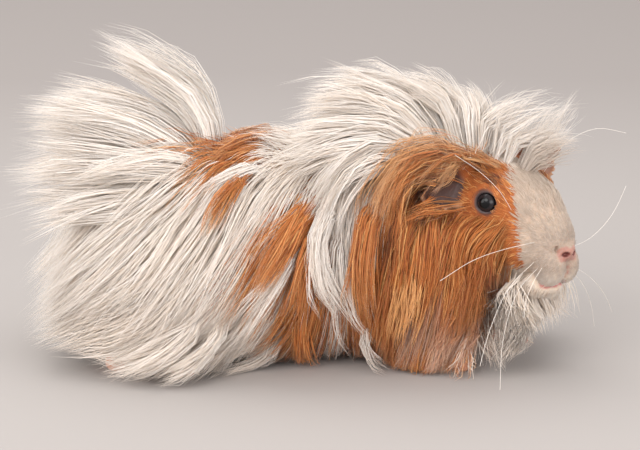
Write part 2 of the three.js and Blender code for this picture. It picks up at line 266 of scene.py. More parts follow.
def headField(p):
    h = toHead(p).astype(p.dtype)
    m = mirrored(h)
    field = None
    for form in headForms:
        paired = form["centre"][1] != 0
        d = roundForm(m if paired else h, form["centre"], form["radii"])
        field = d if field is None else merge(field, d, form["soft"])
    eye = np.array(eyeShape["centre"], dtype=p.dtype)
    near = length(m - eye) < 14
    if near.any():
        q = (m[near] - eye) @ eyeAxes().T.astype(p.dtype)
        f = merge(field[near], eyeField(q), 1.4)
        f = np.maximum(f, eyeShape["radius"] + 0.12 - length(q))
        wide, tall = eyeShape["opening"]
        hole = roundForm(q, (0, 5.6, 0), (wide, 5.8, tall))
        field[near] = carve(f, hole, 0.4)
    snout = (h[..., 0] > 12) & (h[..., 2] < -8)
    if snout.any():
        q, f = m[snout], field[snout]
        nostril = roundForm(q, noseShape["nostril"], noseShape["size"])
        f = carve(f, nostril, 0.7)
        wing = roundForm(q, noseShape["wing"], noseShape["wingSize"])
        f = carve(f, wing, 0.9)
        groove = limb(q, noseShape["cleftTop"], noseShape["cleftEnd"], noseShape["cleft"] * 0.7,
                      noseShape["cleft"])
        f = carve(f, groove, 1.2)
        corner, middle = np.array(mouthShape["corner"]), np.array(mouthShape["middle"])
        lips = limb(q, middle, corner, mouthShape["depth"], mouthShape["depth"] * 0.7)
        f = carve(f, lips, 1.0)
        field[snout] = f
    return field


earShape = {"root": (-13, 17, 14), "length": 29, "width": 23, "thickness": 1.4, "cup": 4.5,
            "droopRight": -0.42, "droopLeft": -0.16}


def sidePoint(point, side):
    # a point given for the left, on the side that is asked for
    return np.array([point[0], side * point[1], point[2]])


def earAxes(side):
    droop = earShape["droopRight"] if side < 0 else earShape["droopLeft"]
    outward = unit(np.array([-0.14, side * 0.9, droop]))
    forward = np.array([0.86, side * 0.3, -0.2])
    forward = unit(forward - outward * (forward @ outward))
    return outward, forward, np.cross(outward, forward)


def earPlace(h, side):
    # how far along the ear, how far across it and how far in front of its sheet a point lies
    outward, forward, broad = earAxes(side)
    q = h - sidePoint(earShape["root"], side)
    along, across, ahead = q @ outward, q @ broad, q @ forward
    share = np.clip(along / earShape["length"], 0, 1)
    half = np.sin(np.pi * (0.12 + 0.86 * share)) ** 0.6 * earShape["width"] / 2
    bend = earShape["cup"] * np.clip(across / np.maximum(half, 1), -1.3, 1.3) ** 2
    return along, across, half, ahead - bend * np.minimum(1, half / 6)


def earField(p, side):
    h = toHead(p).astype(p.dtype)
    along, across, half, ahead = earPlace(h, side)
    rim = earShape["thickness"] / 2
    outside = np.maximum(np.abs(across) - half + rim, along - earShape["length"] + rim)
    outside = np.maximum(outside, -6 - along)
    return np.sqrt(np.maximum(outside, 0) ** 2 + ahead ** 2) - rim


def skinField(p):
    field = None
    for form in bodyForms.values():
        d = roundForm(p, form["centre"], form["radii"])
        field = d if field is None else merge(field, d, 10)
    field = merge(field, limb(p, **neckForm), 12)
    field = merge(field, headField(p), 8)
    for leg in legForms.values():
        near = (length(p - np.array([*leg["heel"], 10])) < 52)
        if near.any():
            field[near] = merge(field[near], legField(p[near], leg), 4)
    for side in (-1, 1):
        middle = fromHead([earShape["root"][0], side * 30, 10])
        near = length(p - middle) < 26
        if near.any():
            field[near] = merge(field[near], earField(p[near], side), 1.8)
    return field


def slope(field, p, step=0.25):
    # the direction in which a field grows
    out = np.empty_like(p)
    for axis in range(3):
        offset = np.zeros(3, dtype=p.dtype)
        offset[axis] = step
        out[:, axis] = field(p + offset) - field(p - offset)
    return unit(out)


# One skin over the whole animal.
# Grid steps are finest over the face and ears, and coarse over the trunk under its coat.
gridSteps = {
    "x": [(-108, -104, 2.0), (-104, -50, 1.4), (-50, 44, 2.8), (44, 50, 1.4), (50, 116, 0.68)],
    "y": [(-66, 4, 0.70), (4, 34, 1.3), (34, 48, 0.95)],
    "z": [(-1.2, 9, 0.85), (9, 38, 1.8), (38, 108, 0.70)],
}


def gridLine(steps):
    places = [steps[0][0]]
    for low, high, step in steps:
        count = max(1, round((high - low) / step))
        places.extend(low + (high - low) * (i + 1) / count for i in range(count))
    return np.array(places)


def stretch(values, places, axis, coarse):
    # linear refill of a field known only at every few places of one axis
    spots = np.interp(places, places[coarse], np.arange(len(coarse)))
    low = np.minimum(spots.astype(int), len(coarse) - 2)
    share = (spots - low).reshape([-1 if i == axis else 1 for i in range(3)]).astype(np.float32)
    return np.take(values, low, axis) * (1 - share) + np.take(values, low + 1, axis) * share


def fieldOnGrid(lines, every=5, band=5.0, chunk=400000):
    # the field on every grid place near the surface, in chunks, and a rough one away from it
    picks = []
    for line in lines:
        pick = list(range(0, len(line) - 1, every)) + [len(line) - 1]
        picks.append(np.array(pick))
    rough = np.stack(np.meshgrid(*[line[pick] for line, pick in zip(lines, picks)], indexing="ij"), axis=-1)
    values = skinField(rough.reshape(-1, 3).astype(np.float32)).reshape(rough.shape[:3])
    for axis in range(3):
        values = stretch(values, lines[axis], axis, picks[axis])
    close = np.nonzero(np.abs(values) < band)
    spots = np.stack([line[index] for line, index in zip(lines, close)], axis=-1).astype(np.float32)
    for start in range(0, len(spots), chunk):
        part = slice(start, start + chunk)
        values[close[0][part], close[1][part], close[2][part]] = skinField(spots[part])
    return values


def meshFromField(lines, values, outside=5.0):
    grid = openvdb.FloatGrid(outside)
    grid.copyFromArray(np.ascontiguousarray(values, dtype=np.float32))
    points, triangles, quads = grid.convertToPolygons(isovalue=0.0, adaptivity=0.0)
    real = np.stack([np.interp(points[:, i], np.arange(len(lines[i])), lines[i]) for i in range(3)], axis=1)
    return real, triangles, quads


def settleOn(field, points, rounds=2):
    points = points.astype(np.float32)
    for _ in range(rounds):
        way = slope(field, points)
        points = points - way * np.clip(field(points), -0.6, 0.6)[:, None]
    return points


# Markings, the same for skin and coat.
coatColours = {  # display colours, 0 to 255
    "white": (240, 231, 222),
    "cream": (229, 211, 193),
    "ginger": (198, 112, 50),
    "deep": (134, 62, 24),
    "golden": (226, 158, 92),
    "amber": (216, 160, 108),
    "face": (189, 169, 152),
    "muzzle": (181, 162, 147),
}
# Where ginger hair is rooted on the body. Each patch has its middle and its half-sizes.
gingerPatches = {
    "saddle": {"centre": (-34, 0, 98), "radii": (21, 20, 15)},
    "saddleFront": {"centre": (-16, 2, 101), "radii": (16, 13, 14)},
    "flankRight": {"centre": (2, -30, 80), "radii": (15, 17, 14)},
    "shoulderRight": {"centre": (4, -36, 44), "radii": (9, 22, 30)},
    "flankLeft": {"centre": (-18, 38, 66), "radii": (24, 18, 24)},
    "shoulderLeft": {"centre": (36, 30, 56), "radii": (18, 22, 34)},
}
blazeEdge = {"ahead": (-14, 6.5, 12.2, 15.7, 17.2), "half": (4, 5, 11, 14, 40), "lean": 0.17}


def linear(colour):
    c = np.asarray(colour, dtype=float) / 255
    return np.where(c <= 0.04045, c / 12.92, ((c + 0.055) / 1.055) ** 2.4)


def opaque(colour):
    return (*linear(colour), 1)


def waves(p, size, seed):
    # smooth noise from -1 to 1 with bumps about size across
    rng = np.random.default_rng(seed)
    total = np.zeros(len(p))
    for i in range(6):
        way = unit(rng.normal(size=3)) * (2 * np.pi / size) * rng.uniform(0.7, 1.4)
        total += np.sin(p @ way + rng.uniform(0, 6.28))
    return total / 3.2


def gingerShare(p):
    # 0 where hair is white and 1 where it is ginger
    ragged = waves(p, 9, 11) * 0.10 + waves(p, 4, 12) * 0.05
    share = np.zeros(len(p))
    for patch in gingerPatches.values():
        reach = length((p - np.array(patch["centre"])) / np.array(patch["radii"])) + ragged
        share = np.maximum(share, 1 - smoothRange(reach, 0.9, 1.1))
    h = toHead(p)
    ahead = h[:, 0] + blazeEdge["lean"] * h[:, 2]
    half = np.interp(ahead, blazeEdge["ahead"], blazeEdge["half"])
    beside = smoothRange(np.abs(h[:, 1]) - half + ragged * 9, -0.8, 0.8)
    crown = smoothRange(p[:, 2] + 0.35 * np.abs(h[:, 1]) + ragged * 12, 103, 108)
    behind = smoothRange(h[:, 0] * 0.55 + p[:, 0] * 0.45 + ragged * 10, -20, -12)
    behind *= smoothRange(p[:, 0] + 0.2 * (60 - p[:, 2]) + ragged * 10, 7, 13)
    farJaw = smoothRange(h[:, 1] + ragged * 8, -2, 2) * smoothRange(-h[:, 2], -4, 3)
    throat = smoothRange(h[:, 0] + 0.8 * h[:, 1] + ragged * 8, -4, 2) * smoothRange(-h[:, 2], 26, 31)
    front = smoothRange(p[:, 0] + 0.3 * p[:, 1], 62, 68) * (1 - smoothRange(p[:, 2], 40, 50))
    head = beside * (1 - crown) * behind * (1 - farJaw) * (1 - throat) * (1 - front)
    return np.clip(np.maximum(share, head), 0, 1)


def faceTone(p, pale, spread=0.0):
    # the white of the face is greyer and pinker than the coat's, most of all at the muzzle
    h = toHead(p)
    onFace = (smoothRange(h[:, 0], 0, 10) * smoothRange(h[:, 2] + 34, 0, 8))[:, None]
    nearNose = (1 - smoothRange(length(h - np.array([33, 0, -24])), 9, 20))[:, None]
    tone = linear(coatColours["face"]) * (1 - nearNose) + linear(coatColours["muzzle"]) * nearNose
    return pale * (1 - onFace) + tone * (1 + spread) * onFace


bareColours = {
    "skin": (226, 178, 158),
    "nose": (168, 126, 113),
    # the nostril's dark red is partly the lining's own colour and partly painted shade in the opening
    "nostril": (104, 40, 34),
    "lips": (196, 128, 122),
    "lid": (60, 46, 46),
    # painted shade inside the ears: darkest on the drooping near ear, lighter on the far ear
    "earInside": (66, 40, 32),
    "earShade": (146, 108, 88),
    "earOutside": (188, 148, 116),
    "foot": (214, 152, 124),
}


def skinTone(p):
    # the colour of the surface, and how bare it is
    share = gingerShare(p)
    pale = faceTone(p, linear(coatColours["cream"]) * 0.92)
    colour = pale * (1 - share[:, None]) + linear(coatColours["ginger"]) * 0.75 * share[:, None]
    bare = np.zeros(len(p))

    def paint(name, amount, nakedness=1.0):
        nonlocal colour, bare
        amount = np.clip(amount, 0, 1)
        colour = colour * (1 - amount[:, None]) + linear(bareColours[name]) * amount[:, None]
        bare = np.maximum(bare, amount * nakedness)

    h = toHead(p)
    m = mirrored(h)
    mottle = waves(p, 2.2, 21) * 0.3
    paint("foot", 1 - smoothRange(p[:, 2] + mottle, 7, 11))
    paint("skin", (1 - smoothRange(p[:, 2], 10, 13)) * smoothRange(p[:, 2], 7, 10) * 0.6)
    nose = length((m - np.array(noseShape["bare"])) / np.array(noseShape["bareSize"])) + mottle * 0.3
    paint("nose", 1 - smoothRange(nose, 0.85, 1.1))
    philtrum = limb(m, (36, 0, -24), (33, 0, -34), 0.9, 0.9) + mottle
    paint("nose", 1 - smoothRange(philtrum, 0.0, 0.9))
    lips = limb(m, mouthShape["middle"], mouthShape["corner"], 1.2, 0.8) + mottle
    paint("lips", 1 - smoothRange(lips, 0.1, 1.0))
    nostril = roundForm(m, noseShape["nostril"], noseShape["size"])
    # partly the nostril lining's colour, partly painted shade darkening the opening
    paint("nostril", 1 - smoothRange(nostril, -0.15, 0.45))
    eye = length(m - np.array(eyeShape["centre"]))
    outer = smoothRange(eye, eyeShape["radius"] + 0.8, eyeShape["radius"] + 1.9)
    paint("lid", (1 - outer) * smoothRange(m[:, 1], 15, 17.5))
    for side in (-1, 1):
        along, across, half, ahead = earPlace(h, side)
        onEar = smoothRange(along, 3, 7) * (np.abs(across) < half + 2) * (np.abs(ahead) < 2.2)
        inside = smoothRange(ahead, -0.3, 0.3)
        rim = smoothRange(np.maximum(np.abs(across) - half, along - earShape["length"]), -2.6, -0.8)
        paint("earOutside", onEar * np.maximum(1 - inside, rim))
        # painted shade: the inside of each ear is painted dark as the shade in its hollow, darkest on the
        # near ear
        paint("earInside" if side < 0 else "earShade", onEar * inside * (1 - rim))
    return colour, bare


# Building meshes.
def meshPiece(name, points, faces, material, colour=None, extra=None):
    # points in body millimetres; faces as one array per face size
    mesh = bpy.data.meshes.new(name)
    mesh.vertices.add(len(points))
    mesh.vertices.foreach_set("co", toFrame(points).astype(np.float32).ravel())
    loops = np.concatenate([np.asarray(group, dtype=np.int32).ravel() for group in faces if len(group)])
    sizes = np.concatenate([np.full(len(group), np.asarray(group).shape[1], dtype=np.int32)
                            for group in faces if len(group)])
    starts = np.concatenate([[0], np.cumsum(sizes)[:-1]]).astype(np.int32)
    mesh.loops.add(len(loops))
    mesh.loops.foreach_set("vertex_index", loops)
    mesh.polygons.add(len(sizes))
    mesh.polygons.foreach_set("loop_start", starts)
    mesh.polygons.foreach_set("loop_total", sizes)
    mesh.polygons.foreach_set("use_smooth", np.ones(len(sizes), dtype=bool))
    if colour is not None:
        layer = mesh.color_attributes.new("tint", "FLOAT_COLOR", "POINT")
        layer.data.foreach_set("color", np.c_[colour, np.ones(len(colour))].astype(np.float32).ravel())
    for label, values in (extra or {}).items():
        layer = mesh.attributes.new(label, "FLOAT", "POINT")
        layer.data.foreach_set("value", np.asarray(values, dtype=np.float32))
    mesh.update(calc_edges=True)
    mesh.validate()
    mesh.materials.append(material)
    return addObject(name, mesh)


class Nodes:
    # a material's node tree, with short ways to add and join nodes
    def __init__(self, name):
        self.material = bpy.data.materials.new(name)
        self.material.use_nodes = True
        self.tree = self.material.node_tree
        self.shader = self.tree.nodes["Principled BSDF"]

    def add(self, kind, settings=None, **inputs):
        made = self.tree.nodes.new("ShaderNode" + kind)
        for label, value in (settings or {}).items():
            setattr(made, label, value)
        for label, value in inputs.items():
            self.feed(made.inputs[label.replace("_", " ")], value)
        return made

    def feed(self, socket, value):
        if isinstance(value, bpy.types.NodeSocket):
            self.tree.links.new(value, socket)
        else:
            socket.default_value = value

    def set(self, **inputs):
        for label, value in inputs.items():
            self.feed(self.shader.inputs[label.replace("_", " ")], value)

    def attribute(self, label, output="Fac"):
        return self.add("Attribute", {"attribute_name": label}).outputs[output]

    def objectPlace(self):
        return self.add("TexCoord").outputs["Object"]

    def noise(self, place, scale, detail=3.0):
        return self.add("TexNoise", Vector=place, Scale=scale, Detail=detail).outputs["Fac"]

    def mix(self, factor, a, b, blend="MIX"):
        made = self.tree.nodes.new("ShaderNodeMix")
        made.data_type = "RGBA"
        made.blend_type = blend
        self.feed(made.inputs[0], factor)
        self.feed(made.inputs[6], a)
        self.feed(made.inputs[7], b)
        return made.outputs[2]

    def shaded(self, colour, shade):
        # a colour made lighter or darker by a plain number
        grey = self.add("CombineColor", Red=shade, Green=shade, Blue=shade).outputs[0]
        return self.mix(1.0, colour, grey, "MULTIPLY")

    def maths(self, operation, a, b):
        made = self.tree.nodes.new("ShaderNodeMath")
        made.operation = operation
        self.feed(made.inputs[0], a)
        self.feed(made.inputs[1], b)
        return made.outputs[0]

    def spread(self, value, low, high, toLow, toHigh):
        made = self.add("MapRange")
        for i, item in enumerate((value, low, high, toLow, toHigh)):
            self.feed(made.inputs[i], item)
        return made.outputs[0]

    def bump(self, height, strength, distance):
        made = self.add("Bump", Height=height, Strength=strength, Distance=distance)
        self.feed(self.shader.inputs["Normal"], made.outputs[0])


skinFinish = {"roughBare": 0.42, "roughFur": 0.8, "mottle": 220.0, "pore": 900.0, "fold": 620.0,
              "fur": 1560.0, "warm": (0.72, 0.40, 0.33, 1), "shadow": (0.25, 0.2, 0.16, 1)}


def skinMaterial():
    n = Nodes("skin_and_short_fur")
    place = n.objectPlace()
    tint, bare = n.attribute("tint", "Color"), n.attribute("bare")
    mottle = n.noise(place, skinFinish["mottle"], 5.0)
    pores = n.noise(place, skinFinish["pore"], 3.0)
    edges = n.add("TexVoronoi", {"feature": "DISTANCE_TO_EDGE"}, Vector=place, Scale=skinFinish["fold"])
    folds = edges.outputs["Distance"]
    streaks = n.noise(place, skinFinish["fur"], 4.0)
    shade = n.spread(mottle, 0.3, 0.7, 0.78, 1.12)
    warm = n.mix(n.spread(pores, 0.35, 0.65, 0.0, 0.35), tint, skinFinish["warm"], "SOFT_LIGHT")
    fur = n.mix(n.spread(streaks, 0.3, 0.7, 0.0, 0.6), tint, skinFinish["shadow"], "SOFT_LIGHT")
    base = n.shaded(n.mix(bare, fur, warm), shade)
    rough = n.spread(bare, 0.0, 1.0, skinFinish["roughFur"], skinFinish["roughBare"])
    n.set(Base_Color=base, Roughness=rough, Specular_IOR_Level=0.4, Subsurface_Weight=0.12,
          Subsurface_Radius=(1.0, 0.35, 0.2), Subsurface_Scale=0.0012, Sheen_Weight=0.15)
    height = n.maths("ADD", n.maths("MULTIPLY", pores, 0.5), n.spread(folds, 0.0, 0.12, 0.0, 0.5))
    n.bump(height, 0.35, 0.0003)
    return n.material


skinNodes = ["head", "nose", "neck", "trunk", "chest", "rump", "ear_right", "ear_left",
             "leg_front_right", "leg_front_left", "leg_hind_right", "leg_hind_left"]


def makeSkin():
    lines = [gridLine(gridSteps[axis]) for axis in "xyz"]
    points, triangles, quads = meshFromField(lines, fieldOnGrid(lines))
    points = settleOn(skinField, points)
    colour, bare = skinTone(points)
    # openvdb winds its faces the other way round
    faces = [quads[:, ::-1], triangles[:, ::-1]]
    skin = meshPiece("skin", points, faces, skinMaterial(), colour, {"bare": bare})
    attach(skin, "root")
    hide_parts(*skinNodes)
    print("skin made:", len(points), "points")
    return skin


skin = makeSkin()


# The eyes.
eyeFinish = {"pupil": (7, 7, 9), "iris": (38, 32, 34), "edge": (10, 10, 13), "bulge": 0.45,
             "rings": 40, "around": 48}


def eyeMaterial():
    n = Nodes("dark_wet_eye")
    place = n.objectPlace()
    fibres = n.noise(place, 1500.0, 4.0)
    shade = n.spread(fibres, 0.3, 0.7, 0.7, 1.3)
    n.set(Base_Color=n.shaded(n.attribute("tint", "Color"), shade), Roughness=0.2,
          Specular_IOR_Level=0.18, Coat_Weight=0.3, Coat_Roughness=0.02, Coat_IOR=1.38)
    n.bump(fibres, 0.04, 0.0001)
    return n.material


def makeEye(name, side, material):
    rings, around = eyeFinish["rings"], eyeFinish["around"]
    angle = np.linspace(0, np.pi, rings + 1)[1:-1]
    turnRound = np.linspace(0, 2 * np.pi, around, endpoint=False)
    a, t = np.meshgrid(angle, turnRound, indexing="ij")
    a, t = a.ravel(), t.ravel()
    a, t = np.r_[0, a, np.pi], np.r_[0, t, 0]
    size = eyeShape["radius"] + eyeFinish["bulge"] * (1 - smoothRange(a, 0.25, 0.95))
    ball = np.stack([np.sin(a) * np.cos(t) * size, np.cos(a) * size, np.sin(a) * np.sin(t) * size], axis=1)
    ball = ball @ eyeAxes() * np.array([1, side, 1])
    centre = sidePoint(eyeShape["centre"], side)
    pupil, iris, edge = (linear(eyeFinish[key]) for key in ("pupil", "iris", "edge"))
    inIris = smoothRange(a, 0.40, 0.50) * (1 - smoothRange(a, 0.72, 0.86))
    outer = smoothRange(a, 0.72, 0.86)
    colour = pupil + (iris - pupil) * inIris[:, None] + (edge - pupil) * outer[:, None]
    index = 1 + np.arange((rings - 1) * around).reshape(rings - 1, around)
    nextRound = np.roll(index, -1, axis=1)
    quads = np.stack([index[:-1], nextRound[:-1], nextRound[1:], index[1:]], axis=-1).reshape(-1, 4)
    front = np.stack([np.zeros(around, int), nextRound[0], index[0]], axis=1)
    back = np.stack([np.full(around, len(a) - 1), index[-1], nextRound[-1]], axis=1)
    faces = [quads, np.r_[front, back]]
    if side > 0:
        faces = [group[:, ::-1] for group in faces]
    eye = meshPiece(name, fromHead(ball + centre), faces, material, colour)
    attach(eye, "root")
    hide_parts("eye_right" if side < 0 else "eye_left")


eyeSkin = eyeMaterial()
makeEye("eyeball_right", -1, eyeSkin)
makeEye("eyeball_left", 1, eyeSkin)
print("eyes made")


# The claws.
clawFinish = {"base": (222, 196, 176), "tip": (236, 226, 208), "rings": 9, "around": 10}


def clawMaterial():
    n = Nodes("horn_claw")
    place = n.objectPlace()
    grain = n.noise(n.add("Mapping", Vector=place, Scale=(400, 1600, 1600)).outputs[0], 1.0, 4.0)
    tone = n.mix(n.spread(grain, 0.3, 0.7, 0.0, 1.0), opaque(clawFinish["base"]), opaque(clawFinish["tip"]))
    n.set(Base_Color=tone, Roughness=0.32, Specular_IOR_Level=0.5, Coat_Weight=0.3, Coat_Roughness=0.2)
    n.bump(grain, 0.2, 0.0001)
    return n.material


def makeClaws():
    rings, around = clawFinish["rings"], clawFinish["around"]
    points, quads, ends = [], [], []
    for leg in legForms.values():
        for start, way in toeLines(leg)[1]:
            side = np.array([-way[1], way[0], 0])
            base = len(points)
            for i in range(rings):
                t = i / (rings - 1)
                out = toeShape["length"] - 2.0 + toeShape["claw"] * t
                middle = np.array([*(start + way * out), 3.5 - 2.6 * t ** 1.7])
                wide, tall = 0.95 * (1 - t) ** 0.6 + 0.12, 1.15 * (1 - t) ** 0.7 + 0.14
                for j in range(around):
                    angle = 2 * math.pi * j / around
                    upright = np.array([0, 0, math.sin(angle) * tall])
                    points.append(middle + side * math.cos(angle) * wide + upright)
            for i in range(rings - 1):
                for j in range(around):
                    a, b = base + i * around + j, base + i * around + (j + 1) % around
                    quads.append((a, b, b + around, a + around))
            ends.append([base + j for j in range(around)][::-1])
            ends.append([base + (rings - 1) * around + j for j in range(around)])
    points = np.array(points)
    points[:, 2] = np.maximum(points[:, 2], groundGap)
    claws = meshPiece("claws", points, [np.array(quads)[:, ::-1], np.array(ends)[:, ::-1]], clawMaterial())
    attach(claws, "root")
    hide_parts(*[f"claw_{name}_{i + 1}" for name, leg in legForms.items()
                         for i in range(leg["toes"])])


makeClaws()
print("claws made")


# The coat's tools.
class RoughField:
    # the skin's distance field on a coarse grid, quick to read at many points
    def __init__(self, low, high, step):
        self.low, self.step = np.array(low, dtype=np.float32), step
        lines = [np.arange(a, b, step) for a, b in zip(low, high)]
        spots = np.stack(np.meshgrid(*lines, indexing="ij"), axis=-1).astype(np.float32)
        self.values = skinField(spots.reshape(-1, 3)).reshape(spots.shape[:3])
        self.limit = np.array(self.values.shape) - 1.001

    def __call__(self, p):
        spot = np.clip((p - self.low) / self.step, 0, self.limit)
        cell = spot.astype(np.int32)
        share = spot - cell
        x, y, z = cell[..., 0], cell[..., 1], cell[..., 2]
        a, b, c = share[..., 0], share[..., 1], share[..., 2]
        v = self.values
        lower = ((v[x, y, z] * (1 - a) + v[x + 1, y, z] * a) * (1 - b)
                 + (v[x, y + 1, z] * (1 - a) + v[x + 1, y + 1, z] * a) * b)
        upper = ((v[x, y, z + 1] * (1 - a) + v[x + 1, y, z + 1] * a) * (1 - b)
                 + (v[x, y + 1, z + 1] * (1 - a) + v[x + 1, y + 1, z + 1] * a) * b)
        return lower * (1 - c) + upper * c

    def slope(self, p):
        out = np.empty(p.shape)
        for axis in range(3):
            offset = np.zeros(3)
            offset[axis] = self.step * 0.6
            out[..., axis] = self(p + offset) - self(p - offset)
        return unit(out)


roughGrid = {"low": (-170, -95, -6), "high": (160, 95, 170), "step": 2.5}
rough = RoughField(**roughGrid)


def smoothPath(points, count):
    # a smooth curve through the points, as count places evenly spread along it
    points = np.asarray(points, dtype=float)
    gaps = np.maximum(length(np.diff(points, axis=0)), 1e-6)
    knots = np.r_[0, np.cumsum(gaps)]
    tangents = np.gradient(points, knots, axis=0)
    spots = np.linspace(0, knots[-1], count)
    i = np.clip(np.searchsorted(knots, spots, side="right") - 1, 0, len(points) - 2)
    width = (knots[i + 1] - knots[i])[:, None]
    t = ((spots - knots[i]) / width[:, 0])[:, None]
    return ((2 * t ** 3 - 3 * t ** 2 + 1) * points[i] + (t ** 3 - 2 * t ** 2 + t) * width * tangents[i]
            + (3 * t ** 2 - 2 * t ** 3) * points[i + 1] + (t ** 3 - t ** 2) * width * tangents[i + 1])


def spotAtLift(pixel, lift):
    # where a line of sight first comes within lift of the skin, or comes nearest to it
    start, way = sightLine(pixel)
    steps = np.arange(1000, 1400, 1.0)[:, None]
    line = start + way * steps
    gap = rough(line)
    inside = np.nonzero(gap < lift)[0]
    return line[inside[0]] if len(inside) else line[gap.argmin()]


def spotAtSide(pixel, side):
    # where a line of sight crosses the upright plane y = side
    start, way = sightLine(pixel)
    return start + way * (side - start[1]) / way[1]


def guidePath(lock, steps):
    pixels = lock["px"]
    if "side" in lock:
        sides = np.interp(np.linspace(0, 1, len(pixels)), np.linspace(0, 1, len(lock["side"])), lock["side"])
        points = [spotAtSide(pixel, side) for pixel, side in zip(pixels, sides)]
    else:
        points = [spotAtLift(pixel, lift) for pixel, lift in zip(pixels, lock["lift"])]
    return smoothPath(points, steps)


def acrossSpine(points):
    # the same place on the animal's other side; the spine bends toward the turned head
    points = np.array(points, dtype=float)
    middle = np.interp(points[..., 0], (30, 60, 95), (-1, -8, -26))
    points[..., 1] = 2 * middle - points[..., 1]
    return points


strandSteps = 6  # places along each strand of the body's coat
lockSteps = 6  # and along each strand of a free lock

# How the long coat lies. Each guide runs from root to tip in the camera's view, at its lift over the skin.
coatGuides = {
    "backFront": {"px": [(345, 140), (300, 138), (262, 146), (225, 160)], "lift": (2, 7, 10, 9)},
    "saddle": {"px": [(296, 140), (262, 143), (228, 150), (198, 170)], "lift": (1.5, 5, 8, 10)},
    "saddleSide": {"px": [(262, 152), (235, 160), (208, 175), (180, 202)], "lift": (1.5, 5, 9, 13)},
    "flankFront": {"px": [(335, 180), (303, 217), (272, 266), (243, 315)], "lift": (2, 9, 15, 19)},
    "flankMiddle": {"px": [(300, 180), (270, 217), (238, 264), (203, 320)], "lift": (2, 9, 15, 20)},
    "flankBack": {"px": [(262, 176), (230, 214), (203, 266), (168, 332)], "lift": (2, 9, 16, 21)},
    "hip": {"px": [(225, 174), (188, 217), (150, 268), (105, 325)], "lift": (2, 10, 18, 25)},
    "lowFront": {"px": [(320, 240), (304, 288), (276, 332), (236, 370)], "lift": (2, 9, 15, 19)},
    "lowMiddle": {"px": [(272, 252), (248, 300), (216, 342), (176, 375)], "lift": (2, 9, 15, 20)},
    "lowBack": {"px": [(222, 264), (190, 310), (158, 346), (124, 370)], "lift": (2, 9, 16, 21)},
    "lowHip": {"px": [(182, 264), (138, 304), (95, 330), (56, 345)], "lift": (2, 10, 18, 24)},
    "rumpHigh": {"px": [(190, 166), (150, 196), (105, 236), (62, 290)], "lift": (2, 11, 20, 27)},
    "rumpMiddle": {"px": [(160, 192), (112, 235), (68, 283), (28, 328)], "lift": (2, 12, 22, 30)},
    "rumpLow": {"px": [(150, 238), (101, 279), (60, 314), (22, 341)], "lift": (2, 12, 22, 30)},
    "rumpHem": {"px": [(130, 286), (92, 313), (55, 331), (22, 344)], "lift": (2, 10, 18, 26)},
    "shoulderBack": {"px": [(352, 167), (330, 207), (318, 263), (322, 330)], "lift": (3, 10, 15, 18)},
    "shoulderFront": {"px": [(374, 172), (352, 216), (345, 270), (362, 335)], "lift": (3, 10, 15, 18)},
    "shoulderLow": {"px": [(345, 228), (335, 280), (328, 330), (316, 376)], "lift": (2, 9, 15, 19)},
    "neckLow": {"px": [(377, 240), (364, 290), (360, 335), (370, 370)], "lift": (2, 9, 14, 17)},
    "bellyFront": {"px": [(330, 310), (322, 335), (314, 358), (305, 380)], "lift": (2, 8, 13, 16)},
    "bellyMiddle": {"px": [(270, 312), (254, 338), (236, 358), (212, 377)], "lift": (2, 8, 13, 16)},
    "bellyBack": {"px": [(210, 315), (192, 338), (168, 358), (142, 374)], "lift": (2, 8, 13, 16)},
    "neckArch": {"px": [(452, 152), (414, 152), (390, 185), (378, 238)], "lift": (2, 8, 12, 14)},
    "neckArchBack": {"px": [(425, 160), (396, 175), (380, 210), (370, 262)], "lift": (2, 8, 12, 14)},
    "napeHigh": {"px": [(470, 141), (430, 140), (396, 153), (376, 190)], "lift": (2, 8, 12, 14)},
    "napeMiddle": {"px": [(446, 149), (414, 156), (392, 180), (378, 224)], "lift": (2, 8, 12, 14)},
    "earBack": {"px": [(424, 198), (404, 214), (390, 246), (380, 290)], "lift": (2, 7, 12, 14)},
    "neckSide": {"px": [(392, 205), (380, 250), (372, 300), (372, 348)], "lift": (2, 8, 13, 15)},
    "behindEye": {"px": [(470, 207), (448, 208), (426, 213), (404, 226)], "lift": (1, 4, 6, 8)},
    "cheekTop": {"px": [(480, 218), (458, 224), (440, 238), (428, 262)], "lift": (1, 4, 7, 9)},
    "cheekBack": {"px": [(406, 222), (400, 258), (393, 308), (386, 362)], "lift": (2, 8, 13, 16)},
    "cheekMiddle": {"px": [(436, 228), (430, 266), (421, 314), (408, 366)], "lift": (2, 8, 13, 16)},
    "cheekFront": {"px": [(466, 232), (461, 270), (454, 318), (444, 368)], "lift": (2, 8, 13, 16)},
    "cheekEye": {"px": [(494, 232), (486, 264), (480, 308), (472, 360)], "lift": (1.5, 6, 10, 13)},
    "cheekFace": {"px": [(514, 240), (505, 266), (498, 304), (490, 350)], "lift": (1.5, 5, 9, 12)},
    "cheekJaw": {"px": [(525, 262), (519, 284), (513, 310), (506, 342)], "lift": (1.5, 5, 9, 11)},
}
beardGuides = {
    "throatFront": {"px": [(538, 290), (543, 306), (546, 322), (545, 340)], "side": (-50, -48, -44, -40)},
    "chin": {"px": [(552, 288), (562, 302), (570, 318), (574, 334)], "side": (-44, -40, -36, -30)},
    "farJaw": {"px": [(566, 278), (580, 292), (590, 308), (596, 326)], "side": (-30, -22, -16, -10)},
    "farCheek": {"px": [(572, 266), (582, 280), (590, 296), (594, 316)], "side": (-16, -10, -6, -2)},
    "chest": {"px": [(520, 300), (530, 314), (538, 328), (542, 342)], "side": (-34, -32, -28, -24)},
    "chestFar": {"px": [(545, 300), (562, 314), (574, 330), (582, 344)], "side": (-16, -12, -6, -2)},
}
